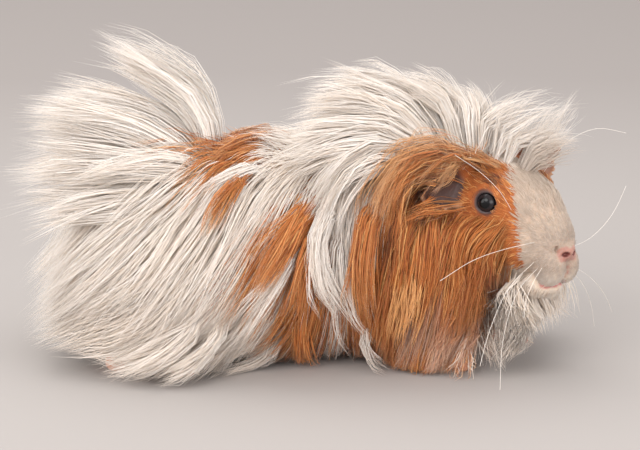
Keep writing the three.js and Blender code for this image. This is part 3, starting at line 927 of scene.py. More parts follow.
# Bundles of hair that stand free of the body. Each has a path from root to tip in the camera's view with
# its sideways place, its half-width from side to side, its half-thickness, and its share of the hair.
maneLocks = {
    "sweepTop": {"px": [(456, 132), (412, 96), (368, 78), (320, 79)], "side": (-14, -12, -12, -14),
        "wide": 12, "deep": 5, "share": 1.2},
    "sweepMiddle": {"px": [(448, 136), (396, 106), (346, 94), (298, 96)], "side": (-20, -22, -22, -22),
        "wide": 11, "deep": 6, "share": 1.3},
    "sweepBack": {"px": [(440, 138), (385, 114), (336, 106), (290, 112)], "side": (-24, -27, -27, -26),
        "wide": 10, "deep": 7, "share": 1.2},
    "sweepLow": {"px": [(436, 141), (384, 126), (332, 122), (276, 132)], "side": (-26, -33, -34, -31),
        "wide": 8, "deep": 7, "share": 1.2},
    "sweepSide": {"px": [(430, 143), (380, 138), (330, 146), (276, 168)], "side": (-29, -38, -41, -40),
        "wide": 6, "deep": 7, "share": 1.1},
    "sweepDown": {"px": [(426, 145), (376, 150), (334, 176), (306, 224)], "side": (-33, -44, -50, -54),
        "wide": 5, "deep": 6, "share": 0.9},
    "sweepFall": {"px": [(412, 144), (374, 158), (346, 192), (330, 246)], "side": (-36, -46, -51, -55),
        "wide": 4, "deep": 6, "share": 0.35},
    "underSweep": {"px": [(446, 142), (402, 128), (352, 118), (300, 124)], "side": (-2, 4, 6, 6),
        "wide": 16, "deep": 8, "share": 1.0},
    "crownUp": {"px": [(462, 131), (448, 104), (424, 86), (390, 73)], "side": (-14, -12, -10, -10),
        "wide": 11, "deep": 6, "share": 1.0},
    "crownTop": {"px": [(468, 131), (466, 112), (456, 96), (436, 82)], "side": (-14, -10, -6, -4),
        "wide": 11, "deep": 6, "share": 0.7},
    "crownHigh": {"px": [(474, 132), (478, 114), (474, 98), (462, 86)], "side": (-16, -14, -10, -8),
        "wide": 9, "deep": 6, "share": 0.5},
    "crownFar": {"px": [(462, 130), (464, 108), (456, 96), (444, 86)], "side": (-2, 6, 10, 12),
        "wide": 9, "deep": 6, "share": 0.5},
    "farSweep": {"px": [(450, 128), (408, 98), (362, 84), (326, 88)], "side": (0, 10, 14, 16),
        "wide": 11, "deep": 6, "share": 1.0},
    "farSide": {"px": [(448, 132), (410, 108), (366, 98), (318, 104)], "side": (8, 26, 34, 36),
        "wide": 9, "deep": 7, "share": 1.0},
    "farDown": {"px": [(452, 134), (420, 120), (390, 124), (372, 140)], "side": (14, 38, 50, 56),
        "wide": 8, "deep": 7, "share": 0.8},
}
wispLocks = {
    "ahead": {"px": [(480, 134), (500, 118), (520, 106), (546, 98)], "side": (-20, -20, -18, -16),
        "wide": 9, "deep": 9, "share": 1.0},
    "near": {"px": [(492, 137), (514, 126), (540, 116), (566, 112)], "side": (-26, -26, -24, -20),
        "wide": 8, "deep": 8, "share": 0.9},
    "low": {"px": [(506, 143), (526, 134), (548, 126), (572, 120)], "side": (-30, -28, -25, -20),
        "wide": 7, "deep": 6, "share": 0.6},
    "farEar": {"px": [(536, 150), (548, 134), (562, 116), (580, 100)], "side": (-20, -16, -12, -8),
        "wide": 8, "deep": 8, "share": 0.8},
    "overFarEar": {"px": [(527, 158), (546, 149), (566, 142), (582, 140)], "side": (-32, -30, -28, -26),
        "wide": 7, "deep": 9, "share": 1.8},
    "backward": {"px": [(470, 128), (474, 108), (470, 94), (458, 80)], "side": (-16, -14, -10, -8),
        "wide": 12, "deep": 12, "share": 0.7},
}
plumeLocks = {
    "first": {"px": [(214, 148), (200, 98), (152, 65), (92, 40)], "side": (-4, -5, -6, -6),
        "wide": 8, "deep": 7, "share": 1.5},
    "firstLow": {"px": [(208, 150), (192, 108), (156, 80), (108, 56)], "side": (2, 2, 2, 0),
        "wide": 9, "deep": 6, "share": 1.0},
    "second": {"px": [(204, 154), (164, 116), (108, 97), (46, 84)], "side": (2, 4, 4, 4),
        "wide": 10, "deep": 5.5, "share": 1.1},
    "third": {"px": [(200, 158), (150, 126), (84, 109), (16, 103)], "side": (-6, -10, -12, -12),
        "wide": 10, "deep": 8, "share": 1.2},
    "fourth": {"px": [(196, 162), (140, 138), (76, 124), (7, 122)], "side": (4, 10, 12, 12),
        "wide": 11, "deep": 8, "share": 1.2},
    "fifth": {"px": [(192, 168), (132, 153), (74, 144), (18, 136)], "side": (-8, -14, -16, -14),
        "wide": 11, "deep": 8, "share": 1.1},
    "sixth": {"px": [(188, 172), (128, 163), (66, 160), (5, 168)], "side": (6, 12, 15, 15),
        "wide": 11, "deep": 8, "share": 1.0},
    "seventh": {"px": [(184, 178), (124, 174), (66, 174), (10, 182)], "side": (-14, -20, -24, -22),
        "wide": 10, "deep": 8, "share": 1.0},
    "eighth": {"px": [(182, 186), (120, 188), (62, 190), (6, 200)], "side": (10, 20, 22, 20),
        "wide": 10, "deep": 8, "share": 0.8},
    "ninth": {"px": [(180, 196), (122, 204), (66, 214), (16, 228)], "side": (-20, -30, -34, -32),
        "wide": 9, "deep": 9, "share": 0.9},
    "tenth": {"px": [(176, 206), (118, 226), (64, 252), (24, 286)], "side": (8, 22, 26, 24),
        "wide": 11, "deep": 11, "share": 0.9},
    "near": {"px": [(204, 172), (160, 168), (112, 170), (58, 186)], "side": (-24, -33, -37, -36),
        "wide": 7, "deep": 9, "share": 0.8},
    "far": {"px": [(196, 160), (150, 146), (104, 144), (60, 152)], "side": (22, 33, 37, 37),
        "wide": 8, "deep": 7, "share": 0.9},
    "farLow": {"px": [(186, 176), (130, 180), (84, 196), (40, 226)], "side": (26, 40, 46, 44),
        "wide": 9, "deep": 10, "share": 0.9},
}
# Locks that lie on top of the coat, each with its own colour.
topLocks = {
    "saddleUpper": {"px": [(300, 134), (272, 131), (242, 137), (210, 153)], "lift": (1, 3, 5, 7),
        "wide": 9, "deep": 3, "share": 0.9, "colour": "ginger"},
    "saddleMiddle": {"px": [(292, 138), (264, 141), (236, 150), (204, 168)], "lift": (1.5, 6, 8, 10),
        "wide": 6, "deep": 5.0, "share": 1.2, "colour": "ginger"},
    "streak": {"px": [(268, 150), (242, 178), (219, 206), (203, 241)], "lift": (8, 17, 19, 20),
        "wide": 1.5, "deep": 0.8, "share": 0.2, "colour": "ginger"},
    "bandUpper": {"px": [(340, 178), (306, 214), (280, 254), (250, 298)], "lift": (8, 15, 19, 22),
        "wide": 3, "deep": 5.0, "share": 1.4, "colour": "ginger"},
    "bandFront": {"px": [(352, 190), (322, 228), (304, 276), (296, 330)], "lift": (9, 15, 19, 22),
        "wide": 3, "deep": 3.5, "share": 0.8, "colour": "ginger"},
    "bandLow": {"px": [(318, 262), (306, 300), (300, 340), (310, 376)], "lift": (9, 14, 17, 20),
        "wide": 3, "deep": 3.0, "share": 0.9, "colour": "ginger"},
    "floorLock": {"px": [(306, 318), (304, 350), (318, 372), (356, 377)], "lift": (10, 14, 18, 22),
        "wide": 2, "deep": 2.6, "share": 0.5, "colour": "ginger"},
    "whiteCurl": {"px": [(384, 158), (342, 190), (316, 236), (318, 282), (346, 322)],
        "lift": (10, 17, 21, 23, 23), "wide": 3, "deep": 2.6, "share": 1.0, "colour": "white"},
    "whiteFall": {"px": [(372, 170), (346, 216), (340, 268), (350, 318), (374, 350)],
        "lift": (10, 16, 19, 20, 20), "wide": 3, "deep": 2.6, "share": 0.3, "colour": "white"},
    "gingerFall": {"px": [(390, 168), (368, 210), (359, 262), (366, 330)], "lift": (9, 17, 20, 21),
        "wide": 3, "deep": 5, "share": 1.1, "colour": "ginger"},
    "whiteDrift": {"px": [(330, 200), (296, 250), (262, 300), (222, 350)], "lift": (10, 17, 20, 23),
        "wide": 4, "deep": 3.0, "share": 0.6, "colour": "white"},
    "hemOne": {"px": [(250, 300), (222, 338), (190, 366), (150, 384)], "lift": (12, 17, 21, 25),
        "wide": 3, "deep": 3.0, "share": 0.5, "colour": "white"},
    "underSaddle": {"px": [(282, 158), (256, 166), (228, 178), (198, 196)], "lift": (8, 11, 13, 16),
        "wide": 4, "deep": 2.6, "share": 0.5, "colour": "white"},
    "hemHeel": {"px": [(196, 318), (166, 344), (134, 362), (98, 372)], "lift": (12, 17, 20, 22),
        "wide": 6, "deep": 4.0, "share": 0.5, "colour": "white"},
    "hemTwo": {"px": [(230, 290), (196, 332), (156, 364), (108, 378)], "lift": (12, 17, 21, 25),
        "wide": 3, "deep": 2.6, "share": 0.5, "colour": "white"},
    "hemThree": {"px": [(300, 316), (280, 348), (252, 368), (214, 380)], "lift": (12, 16, 19, 23),
        "wide": 3, "deep": 3.0, "share": 0.4, "colour": "white"},
    "hemFour": {"px": [(366, 300), (362, 334), (368, 358), (392, 372)], "lift": (12, 16, 19, 22),
        "wide": 3, "deep": 2.6, "share": 0.4, "colour": "white"},
}
headLocks = {
    "archOuter": {"px": [(508, 150), (470, 138), (424, 144), (388, 176), (374, 232)],
        "side": (-34, -38, -43, -48, -53), "wide": 6, "deep": 7, "share": 0.8, "colour": "amber"},
    "archInner": {"px": [(504, 156), (468, 147), (430, 152), (402, 173), (384, 222)],
        "side": (-36, -40, -44, -48, -52), "wide": 6, "deep": 6, "share": 0.8, "colour": "ginger"},
    "earLeaf": {"px": [(468, 158), (453, 167), (438, 179), (422, 193)], "lift": (1.2, 2.2, 2.4, 2),
        "wide": 1.5, "deep": 4.6, "share": 0.4, "colour": "amber"},
    "acrossEar": {"px": [(470, 186), (456, 180), (436, 178), (410, 186)], "lift": (1, 4, 5, 7),
        "wide": 2, "deep": 7, "share": 0.09, "colour": "ginger"},
    "underEar": {"px": [(474, 206), (448, 207), (420, 212), (396, 228)], "side": (-42, -46, -49, -52),
        "wide": 3, "deep": 5, "share": 0.12, "colour": "ginger"},
    "goldenOne": {"px": [(432, 228), (424, 266), (415, 308), (402, 352)], "lift": (7, 13, 16, 19),
        "wide": 4, "deep": 7, "share": 0.22, "colour": "golden"},
    "goldenTwo": {"px": [(412, 234), (406, 272), (400, 312), (390, 352)], "lift": (7, 13, 16, 19),
        "wide": 4, "deep": 7, "share": 0.2, "colour": "golden"},
    "deepOne": {"px": [(474, 236), (468, 272), (461, 308), (452, 346)], "lift": (6, 11, 14, 16),
        "wide": 4, "deep": 7, "share": 0.2, "colour": "deep"},
    "deepTwo": {"px": [(498, 250), (492, 284), (486, 316), (478, 346)], "lift": (5, 9, 12, 14),
        "wide": 4, "deep": 6, "share": 0.2, "colour": "deep"},
    "deepBack": {"px": [(392, 232), (386, 268), (380, 308), (376, 346)], "lift": (8, 13, 15, 17),
        "wide": 4, "deep": 9, "share": 0.3, "colour": "deep"},
}
# The hem's height over the ground, from the rump to the nose.
floorLine = {"x": (-150, -112, -104, -96, 84, 95, 130), "height": (13, 11, 6, 0.5, 0.5, 13, 18)}


def alongPaths(paths, reach):
    # the places at the given shares of each path
    steps = paths.shape[1]
    spot = np.clip(reach, 0, 1) * (steps - 1)
    low = np.minimum(spot.astype(int), steps - 2)
    part = (spot - low)[..., None]
    rows = np.arange(len(paths))[:, None]
    return paths[rows, low] * (1 - part) + paths[rows, low + 1] * part


class Guides:
    def __init__(self, guides, steps, mirror=True):
        paths, lifts = [], []
        for lock in guides.values():
            path = guidePath(lock, steps)
            for made in ([path, acrossSpine(path)] if mirror else [path]):
                paths.append(made)
                lifts.append(np.maximum(rough(made), 1.0))
        self.paths, self.lifts = np.array(paths), np.array(lifts)

    def lead(self, roots, power=3.0, count=4):
        # each root's mix of the nearest guides
        gap = length(roots[:, None] - self.paths[None, :, 0])
        nearest = np.argsort(gap, axis=1)[:, :count]
        near = np.take_along_axis(gap, nearest, axis=1)
        share = 1 / (near + 4) ** power
        share /= share.sum(axis=1, keepdims=True)
        offsets = self.paths - self.paths[:, :1]
        way = (offsets[nearest] * share[..., None, None]).sum(axis=1)
        lift = (self.lifts[nearest] * share[..., None]).sum(axis=1)
        return way, lift


def growStrands(roots, guides, rng, shortest=0.65, longest=1.08, follow=0.85, wander=0.10, trim=None):
    # long strands from their roots along the guides, lifted off the skin in layers
    way, lift = guides.lead(roots)
    size = rng.uniform(shortest, longest, (len(roots), 1, 1))
    if trim is not None:
        size *= trim(roots)[:, None, None]
    t = np.linspace(0, 1, way.shape[1])
    sideways = unit(np.cross(rough.slope(roots), way[:, -1]))
    drift = waves(roots, 13, 31) * 0.13 + waves(roots, 5, 32) * 0.06 + rng.normal(0, 0.03, len(roots))
    reach = length(way[:, -1])
    way = way + (sideways * (drift * reach)[:, None])[:, None] * (t ** 1.4)[None, :, None]
    paths = roots[:, None] + way * size
    layer = rng.uniform(0.5, 1.12, (len(roots), 1))
    for _ in range(3):
        gap = rough(paths)
        up = rough.slope(paths)
        wanted = lift * (1 + (layer - 1) * t)
        move = (wanted - gap) * follow * np.minimum(1, t * 6)
        paths = paths + up * move[..., None]
    return wobble(paths, rng, wander)


def bundleStrands(locks, count, rng, tuft=11, shortest=0.74, splay=0.10, hug=0.5, latest=0.0, rise=0.1):
    # strands in tufts spread through each bundle, which is full in its middle and narrow at its tip
    names = list(locks)
    lines = np.array([guidePath(locks[name], lockSteps) for name in names])
    shares = np.array([locks[name]["share"] for name in names])
    tufts = max(len(names) * 2, count // tuft)
    lock = rng.choice(len(names), tufts, p=shares / shares.sum())
    wide = np.array([locks[name]["wide"] for name in names])[lock][:, None]
    deep = np.array([locks[name]["deep"] for name in names])[lock][:, None]
    t = np.linspace(0, 1, lockSteps)
    end = 1 - (1 - shortest) * rng.uniform(0, 1, (tufts, 1)) ** 1.6
    begin = rng.uniform(0, latest, (tufts, 1))  # some tufts are rooted part way along their lock
    reach = begin + (end - begin) * t
    axis = alongPaths(lines[lock], reach)
    ahead = unit(np.gradient(axis, axis=1))
    across = np.array([0, 1.0, 0])
    over = unit(np.cross(ahead, across))
    angle, away = rng.uniform(0, 2 * np.pi, (tufts, 1)), np.sqrt(rng.uniform(0, 1, (tufts, 1)))
    girth = np.interp(reach, (0, 0.35, 0.7, 1), (0.7, 1.0, 0.85, 0.5))
    middle = (axis + across * (np.cos(angle) * away * girth * wide)[..., None]
              + over * (np.sin(angle) * away * girth * deep)[..., None])
    middle = wobble(middle, rng, splay)
    # the tuft's own strands
    owner = rng.integers(0, tufts, count)
    reach = rng.uniform(0.84, 1.0, (count, 1)) * t
    paths = alongPaths(middle[owner], reach)
    angle, away = rng.uniform(0, 2 * np.pi, (count, 1)), np.sqrt(rng.uniform(0, 1, (count, 1)))
    girth = np.interp(reach, (0, 0.3, 0.8, 1), (1.5, 2.0, 1.5, 0.9))
    radial = across * np.cos(angle)[..., None] + over[owner] * np.sin(angle)[..., None]
    paths = paths + radial * (away * girth)[..., None]
    free = smoothRange(t, 0, rise)
    for _ in range(2):
        gap = rough(paths)
        wanted = np.maximum(gap, 1.0 + 4 * t) * free - 0.6 * (1 - free)
        paths = paths + rough.slope(paths) * (wanted - gap)[..., None]
    outward = unit((paths - alongPaths(axis[owner], reach)) / np.array([1, 1.3, 1]) + radial * 0.5)
    lean = unit(outward * (1 - hug) + rough.slope(paths) * hug + np.array([0, 0, 0.3]))
    return wobble(paths, rng, 0.06), lean, lock[owner], owner


def wobble(paths, rng, wander):
    # a slow bend of its own for each strand
    count = len(paths)
    t = np.linspace(0, 1, paths.shape[1])
    phase = rng.uniform(0, 2 * np.pi, (count, 3, 1))
    swing = rng.normal(0, 1, (count, 3, 1))
    reach = length(paths[:, -1] - paths[:, 0])[:, None, None]
    curl = np.sin(phase + t * rng.uniform(2, 6, (count, 3, 1))) - np.sin(phase)
    return paths + (swing * curl * reach * wander * 0.22 * t).transpose(0, 2, 1)


def clump(paths, rng, size, pull, start=0.15):
    # strands draw together toward the tips of nearby leaders
    leaders = rng.choice(len(paths), max(2, len(paths) // size), replace=False)
    tree = kdtree.KDTree(len(leaders))
    middle = paths.shape[1] // 2
    for i, leader in enumerate(leaders):
        tree.insert(Vector(paths[leader, middle]), i)
    tree.balance()
    owner = leaders[[tree.find(Vector(spot))[1] for spot in paths[:, middle]]]
    t = np.linspace(0, 1, paths.shape[1])
    force = np.clip((t - start) / (1 - start), 0, 1) ** 1.2
    tight = pull * rng.uniform(0.5, 1.15, len(paths))
    share = np.clip(tight[:, None] * force, 0, 0.92)[..., None]
    return paths + (paths[owner] - paths) * share, owner


def offGround(paths, rng):
    # strands end at the hem's height over the ground, a few of them lying along it
    hem = np.interp(paths[..., 0], floorLine["x"], floorLine["height"])
    floor = hem + rng.uniform(0, 1.8, (len(paths), 1))
    below = paths[..., 2] < floor
    first = np.where(below.any(axis=1), below.argmax(axis=1), paths.shape[1] - 1)
    reach = np.where(below.any(axis=1), (first - 0.5) / (paths.shape[1] - 1), 1.0)
    reach = np.clip(reach + rng.uniform(0, 0.12, len(paths)), 0.3, 1)
    paths = alongPaths(paths, reach[:, None] * np.linspace(0, 1, paths.shape[1]))
    paths[..., 2] = np.maximum(paths[..., 2], floor)
    return paths


# Where a root lies on an unwrap of the skin: the trunk round its length, the head round its muzzle.
unwrapShape = {"low": -112, "long": 215, "axis": 52, "trunk": 0.60, "round": 6.4, "head": 0.66,
               "muzzle": 0.32, "middle": (-4, 0, -10), "patch": 0.003}


def unwrapSpot(p):
    h = toHead(p)
    around = np.arctan2(p[:, 1], p[:, 2] - unwrapShape["axis"])
    trunk = np.stack([0.02 + unwrapShape["trunk"] * (p[:, 0] - unwrapShape["low"]) / unwrapShape["long"],
                      0.5 + around / unwrapShape["round"]], axis=1)
    h = h - np.array(unwrapShape["middle"])
    away = np.arccos(np.clip(h[:, 0] / np.maximum(length(h), 1e-6), -1, 1)) / np.pi
    head = np.stack([unwrapShape["head"] + unwrapShape["muzzle"] * away,
                     0.5 + np.arctan2(h[:, 1], h[:, 2]) / unwrapShape["round"]], axis=1)
    onHead = (h[:, 0] > -22) & (length(h) < 46)
    return np.where(onHead[:, None], head, trunk)


strandShape = {"thickness": 0.5, "roll": 0.35, "taper": 2.4}


def strandPiece(name, paths, widths, tint, tipTint, rng, lean=None, softness=0.8):
    # tapered three-sided strands joined in one mesh, each a closed solid with its own patch on the unwrap
    count, steps = paths.shape[:2]
    t = np.linspace(0, 1, steps)
    profile = np.minimum(1, 0.5 + t * 2.2) * (1 - t ** strandShape["taper"]) + 0.02
    ahead = unit(np.gradient(paths, axis=1))
    up = rough.slope(paths) if lean is None else lean
    roll = rng.normal(0, strandShape["roll"], (count, 1, 1))
    side = unit(np.cross(ahead, up))
    top = unit(np.cross(side, ahead))
    side, top = side * np.cos(roll) + top * np.sin(roll), top * np.cos(roll) - side * np.sin(roll)
    half = (widths[:, None] / 2 * profile)[..., None]
    ridge = paths + top * half * 2 * strandShape["thickness"]
    corners = np.stack([paths - side * half, paths + side * half, ridge], axis=2)
    points = np.concatenate([corners[:, :-1].reshape(count, -1, 3), paths[:, -1:]], axis=1)
    perStrand = points.shape[1]
    # each side's shading leans on the coat's own slope, so that the coat looks soft
    soft = [unit(way) * (1 - softness) + up * softness for way in (side + top * 0.3, top, -side + top * 0.3)]
    under = [unit(way) for way in (-side - top, side - top)]
    shading = {(0, 0): under[0], (0, 1): under[1], (1, 1): soft[0], (1, 2): soft[1], (2, 2): soft[1],
               (2, 0): soft[2]}
    rings = steps - 1
    quads, quadSpots, quadShade, tips, tipSpots, tipShade = [], [], [], [], [], []
    for j in range(3):
        nextJ = (j + 1) % 3
        for k in range(rings - 1):
            quads.append((k * 3 + nextJ, k * 3 + j, (k + 1) * 3 + j, (k + 1) * 3 + nextJ))
            quadSpots.append([((j + 1) / 3, k / steps), (j / 3, k / steps),
                              (j / 3, (k + 1) / steps), ((j + 1) / 3, (k + 1) / steps)])
            quadShade.append([shading[j, nextJ][:, k], shading[j, j][:, k],
                              shading[j, j][:, k + 1], shading[j, nextJ][:, k + 1]])
        last = (rings - 1) * 3
        tips.append((last + nextJ, last + j, perStrand - 1))
        tipSpots.append([((j + 1) / 3, rings / steps), (j / 3, rings / steps), ((j + 0.5) / 3, 1)])
        tipShade.append([shading[j, nextJ][:, -2], shading[j, j][:, -2], shading[j, nextJ][:, -1]])
    tips.append((0, 1, 2))
    tipSpots.append([(0.5, 0), (0.9, 0), (0.7, 0.08)])
    tipShade.append([-ahead[:, 0]] * 3)
    offsets = (np.arange(count) * perStrand)[:, None, None]
    faces = [(np.array(quads)[None] + offsets).reshape(-1, 4),
             (np.array(tips)[None] + offsets).reshape(-1, 3)]
    share = np.r_[np.repeat(t[:-1], 3), 1.0][None, :, None]
    colour = tint[:, None] * (1 - share) + tipTint[:, None] * share
    piece = meshPiece(name, points.reshape(-1, 3), faces, coatHair, colour.reshape(-1, 3))
    quadNormals = np.stack([way for face in quadShade for way in face], axis=1)
    tipNormals = np.stack([way for face in tipShade for way in face], axis=1)
    normals = np.r_[quadNormals.reshape(-1, 3), tipNormals.reshape(-1, 3)]
    piece.data.normals_split_custom_set(unit(normals).astype(np.float32))
    spots = unwrapSpot(paths[:, 0])[:, None, None]
    quadUv = spots + (np.array(quadSpots) - 0.5)[None] * unwrapShape["patch"]
    tipUv = spots + (np.array(tipSpots) - 0.5)[None] * unwrapShape["patch"]
    layer = piece.data.uv_layers.new(name="OFBake")
    allUv = np.r_[quadUv.reshape(-1, 2), tipUv.reshape(-1, 2)]
    layer.data.foreach_set("uv", allUv.astype(np.float32).ravel())
    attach(piece, "root")
    print(name, "made:", count, "strands")
    return piece


hairFinish = {"sheen": 0.2, "rough": 0.6, "glow": 0.4, "depth": 0.0016}


def hairMaterial():
    n = Nodes("coat_hair")
    place = n.objectPlace()
    fine = n.noise(place, 700.0, 3.0)
    broad = n.noise(place, 60.0, 3.0)
    shade = n.maths("MULTIPLY", n.spread(fine, 0.3, 0.7, 0.93, 1.05), n.spread(broad, 0.3, 0.7, 0.96, 1.02))
    n.set(Base_Color=n.shaded(n.attribute("tint", "Color"), shade), Roughness=hairFinish["rough"],
          Specular_IOR_Level=0.3, Sheen_Weight=hairFinish["sheen"],
          Sheen_Roughness=0.5, Subsurface_Weight=hairFinish["glow"], Subsurface_Radius=(1.0, 0.85, 0.7),
          Subsurface_Scale=hairFinish["depth"])
    n.bump(fine, 0.12, 0.0002)
    return n.material


coatHair = hairMaterial()


def whiteTint(roots, rng, plain=False):
    # white hair, creamier low on the body and behind
    pale = linear(coatColours["white"]) * rng.uniform(0.95, 1.03, (len(roots), 1))
    low = 1 - smoothRange(roots[:, 2] - 0.25 * roots[:, 0], 30, 120)
    creamy = np.clip(rng.uniform(0, 1, len(roots)) ** 2.5 + low * 0.4, 0, 1)[:, None]
    pale = pale * (1 - creamy) + linear(coatColours["cream"]) * creamy
    spread = 0.08 * rng.normal(0, 1, (len(roots), 1))
    return pale if plain else faceTone(roots, pale, spread)


# Painted shade: ginger hair rooted in the hollows below the ear, behind the eye, over it and on the cheek is
# darkened to stand in for the shade that falls there.
paintedShadeSpots = [
    {"px": (446, 182), "size": 6.5},
    {"px": (412, 178), "size": 7},
    {"px": (456, 204), "size": 4},
    {"px": (496, 182), "size": 5},
    {"px": (427, 238), "size": 4.5},
]


def inPaintedShade(p):
    # how far each point lies inside the painted shade, from 0 to 1
    total = np.zeros(len(p))
    for spot in paintedShadeSpots:
        centre = spotAtLift(spot["px"], 0.5)
        total = np.maximum(total, 1 - smoothRange(length(p - centre) / spot["size"], 0.5, 1.2))
    return total[:, None]


def warmTint(roots, rng):
    deep = rng.uniform(0, 1, (len(roots), 1)) ** 2.4 + np.clip(waves(roots, 7, 41), 0, 1)[:, None] * 0.35
    # painted shade: hair rooted in the hollows by the ear and eye is pushed to deep ginger here and darkened
    # again below
    deep = deep + inPaintedShade(roots)
    golden = (rng.uniform(0, 1, (len(roots), 1)) < 0.25) * rng.uniform(0.3, 1, (len(roots), 1))
    deep = np.clip(deep, 0, 1)
    warm = linear(coatColours["ginger"]) * (1 - deep) + linear(coatColours["deep"]) * deep
    warm = warm * (1 - golden) + linear(coatColours["golden"]) * golden
    return warm * (1 - 0.6 * inPaintedShade(roots))


def strandTints(roots, rng, white=0.0):
    # each strand's colour at root and tip
    share = gingerShare(roots)
    isGinger = (rng.uniform(0, 1, len(roots)) < np.clip(share * (1 - white), 0, 1))[:, None]
    pale, warm = whiteTint(roots, rng, plain=white == 1), warmTint(roots, rng)
    root = np.where(isGinger, warm * 0.88, pale * np.array([0.97, 0.94, 0.90]))
    tip = np.where(isGinger, warm * 1.1, pale)
    return np.clip(root, 0, 0.95), np.clip(tip, 0, 0.95)


def lockTints(locks, lock, roots, rng):
    # each lock has one colour, with its strands a little apart
    names = [locks[name].get("colour", "white") for name in locks]
    pale, warm = whiteTint(roots, rng), warmTint(roots, rng)
    colour = np.zeros((len(roots), 3))
    for name in dict.fromkeys(names):  # in the table's order, so that each run draws the same
        own = np.isin(lock, [i for i, other in enumerate(names) if other == name])[:, None]
        plain = linear(coatColours[name]) * rng.uniform(0.82, 1.12, (len(roots), 1))
        made = pale if name == "white" else warm if name == "ginger" else plain * 0.7 + warm * 0.3
        colour = np.where(own, made, colour)
    tip = np.where(colour[:, :1] > 0.6, colour, colour * 1.12)
    return np.clip(colour * 0.95, 0, 0.95), np.clip(tip, 0, 0.95)


class SkinSpots:
    # random places on the skin, more where the weight is higher
    def __init__(self, piece):
        mesh = piece.data
        count = len(mesh.vertices)
        self.points = np.empty(count * 3, dtype=np.float32)
        mesh.vertices.foreach_get("co", self.points)
        self.points = self.points.reshape(-1, 3).astype(float) * 1000 - bodyShift
        corners = np.empty(len(mesh.loops), dtype=np.int32)
        mesh.loops.foreach_get("vertex_index", corners)
        starts = np.empty(len(mesh.polygons), dtype=np.int32)
        totals = np.empty(len(mesh.polygons), dtype=np.int32)
        mesh.polygons.foreach_get("loop_start", starts)
        mesh.polygons.foreach_get("loop_total", totals)
        starts = starts[totals == 4]
        self.quads = corners[starts[:, None] + np.arange(4)]
        a, b, c, d = (self.points[self.quads[:, i]] for i in range(4))
        self.area = length(np.cross(c - a, d - b)) / 2
        self.middle = (a + b + c + d) / 4

    def pick(self, count, weight, rng):
        chance = self.area * weight(self.middle)
        chosen = rng.choice(len(chance), count, p=chance / chance.sum())
        u, v = rng.uniform(0, 1, (2, count, 1))
        a, b, c, d = (self.points[self.quads[chosen, i]] for i in range(4))
        return (a * (1 - u) + b * u) * (1 - v) + (d * (1 - u) + c * u) * v


# The long coat.
# The number of strands in each piece, and their width with how much it varies.
coatSetup = {"rump": 5800, "flankRight": 5800, "flankLeft": 3600, "frontRight": 3000, "frontLeft": 1800,
             "cheeks": 5400, "beard": 2400, "mane": 4500, "wisps": 700, "plume": 5800, "top": 3800,
             "head": 1700, "width": 0.41, "spread": 0.3}
skinSpots = SkinSpots(skin)


def headPart(p):
    # 1 on the face and 0 on the neck and trunk
    h = toHead(p)
    return smoothRange(h[:, 0], -26, -14) * (length(h) < 50)


def onCrown(p):
    # the top of the neck and of the skull, where the mane is rooted
    h = toHead(p)
    beside = np.abs(acrossSpine(p)[:, 1] - p[:, 1]) / 2
    nape = smoothRange(p[:, 0], 26, 40) * smoothRange(p[:, 2], 90, 96) * (1 - smoothRange(beside, 14, 22))
    return nape * (1 - smoothRange(h[:, 0], -8, 0))


def onTrunk(p):
    under = 1 - 0.8 * (1 - smoothRange(p[:, 2], 14, 26)) * (np.abs(p[:, 1]) < 28)
    body = smoothRange(p[:, 2], 11, 16) * (1 - headPart(p)) * under
    return body * (1 - onCrown(p) * 0.7) * (1 - onBeard(p))


def onCheek(p):
    h = toHead(p)
    side = smoothRange(np.abs(h[:, 1]), 7, 12)
    near = smoothRange(-h[:, 2], 4, 10) * smoothRange(14 - h[:, 0], 0, 8) * headPart(p)
    near *= 1 - (h[:, 1] > 0) * smoothRange(h[:, 0], -16, -8)  # the far cheek's front has short fur
    return side * near * (1 - onBeard(p))


def onBeard(p):
    # the throat, the underside of the jaw and the front of the chest
    h = toHead(p)
    throat = smoothRange(h[:, 0], -16, -6) * (1 - smoothRange(h[:, 0], 10, 18))
    throat = throat * smoothRange(-h[:, 2], 20, 27)
    near = throat * smoothRange(h[:, 1] + 0.3 * h[:, 0], -9, -3) * smoothRange(14 - h[:, 1], 0, 6)
    near = near * (length(h) < 56)
    chest = smoothRange(p[:, 0] + 0.3 * p[:, 1], 62, 70)
    chest = chest * (1 - smoothRange(p[:, 2], 50, 58)) * smoothRange(p[:, 2], 22, 30)
    return np.clip(near + chest * (1 - headPart(p)), 0, 1)


def longWidths(count, rng, scale=1.0):
    return coatSetup["width"] * scale * np.clip(rng.lognormal(0, coatSetup["spread"], count), 0.5, 2.0)


def saddleTrim(roots):
    # the hair of the saddle is short and lies flat
    reach = length((roots - np.array([-34, -4, 98])) / np.array([34, 30, 20]))
    return 0.42 + 0.58 * smoothRange(reach, 0.8, 1.25)


def cheekTrim(roots):
    # hair is short by the eye and longer down the cheek
    h = toHead(roots)
    return np.interp(-h[:, 2], (3, 10, 20), (0.35, 0.7, 1.0)) * np.interp(h[:, 0], (2, 16), (1.0, 0.75))


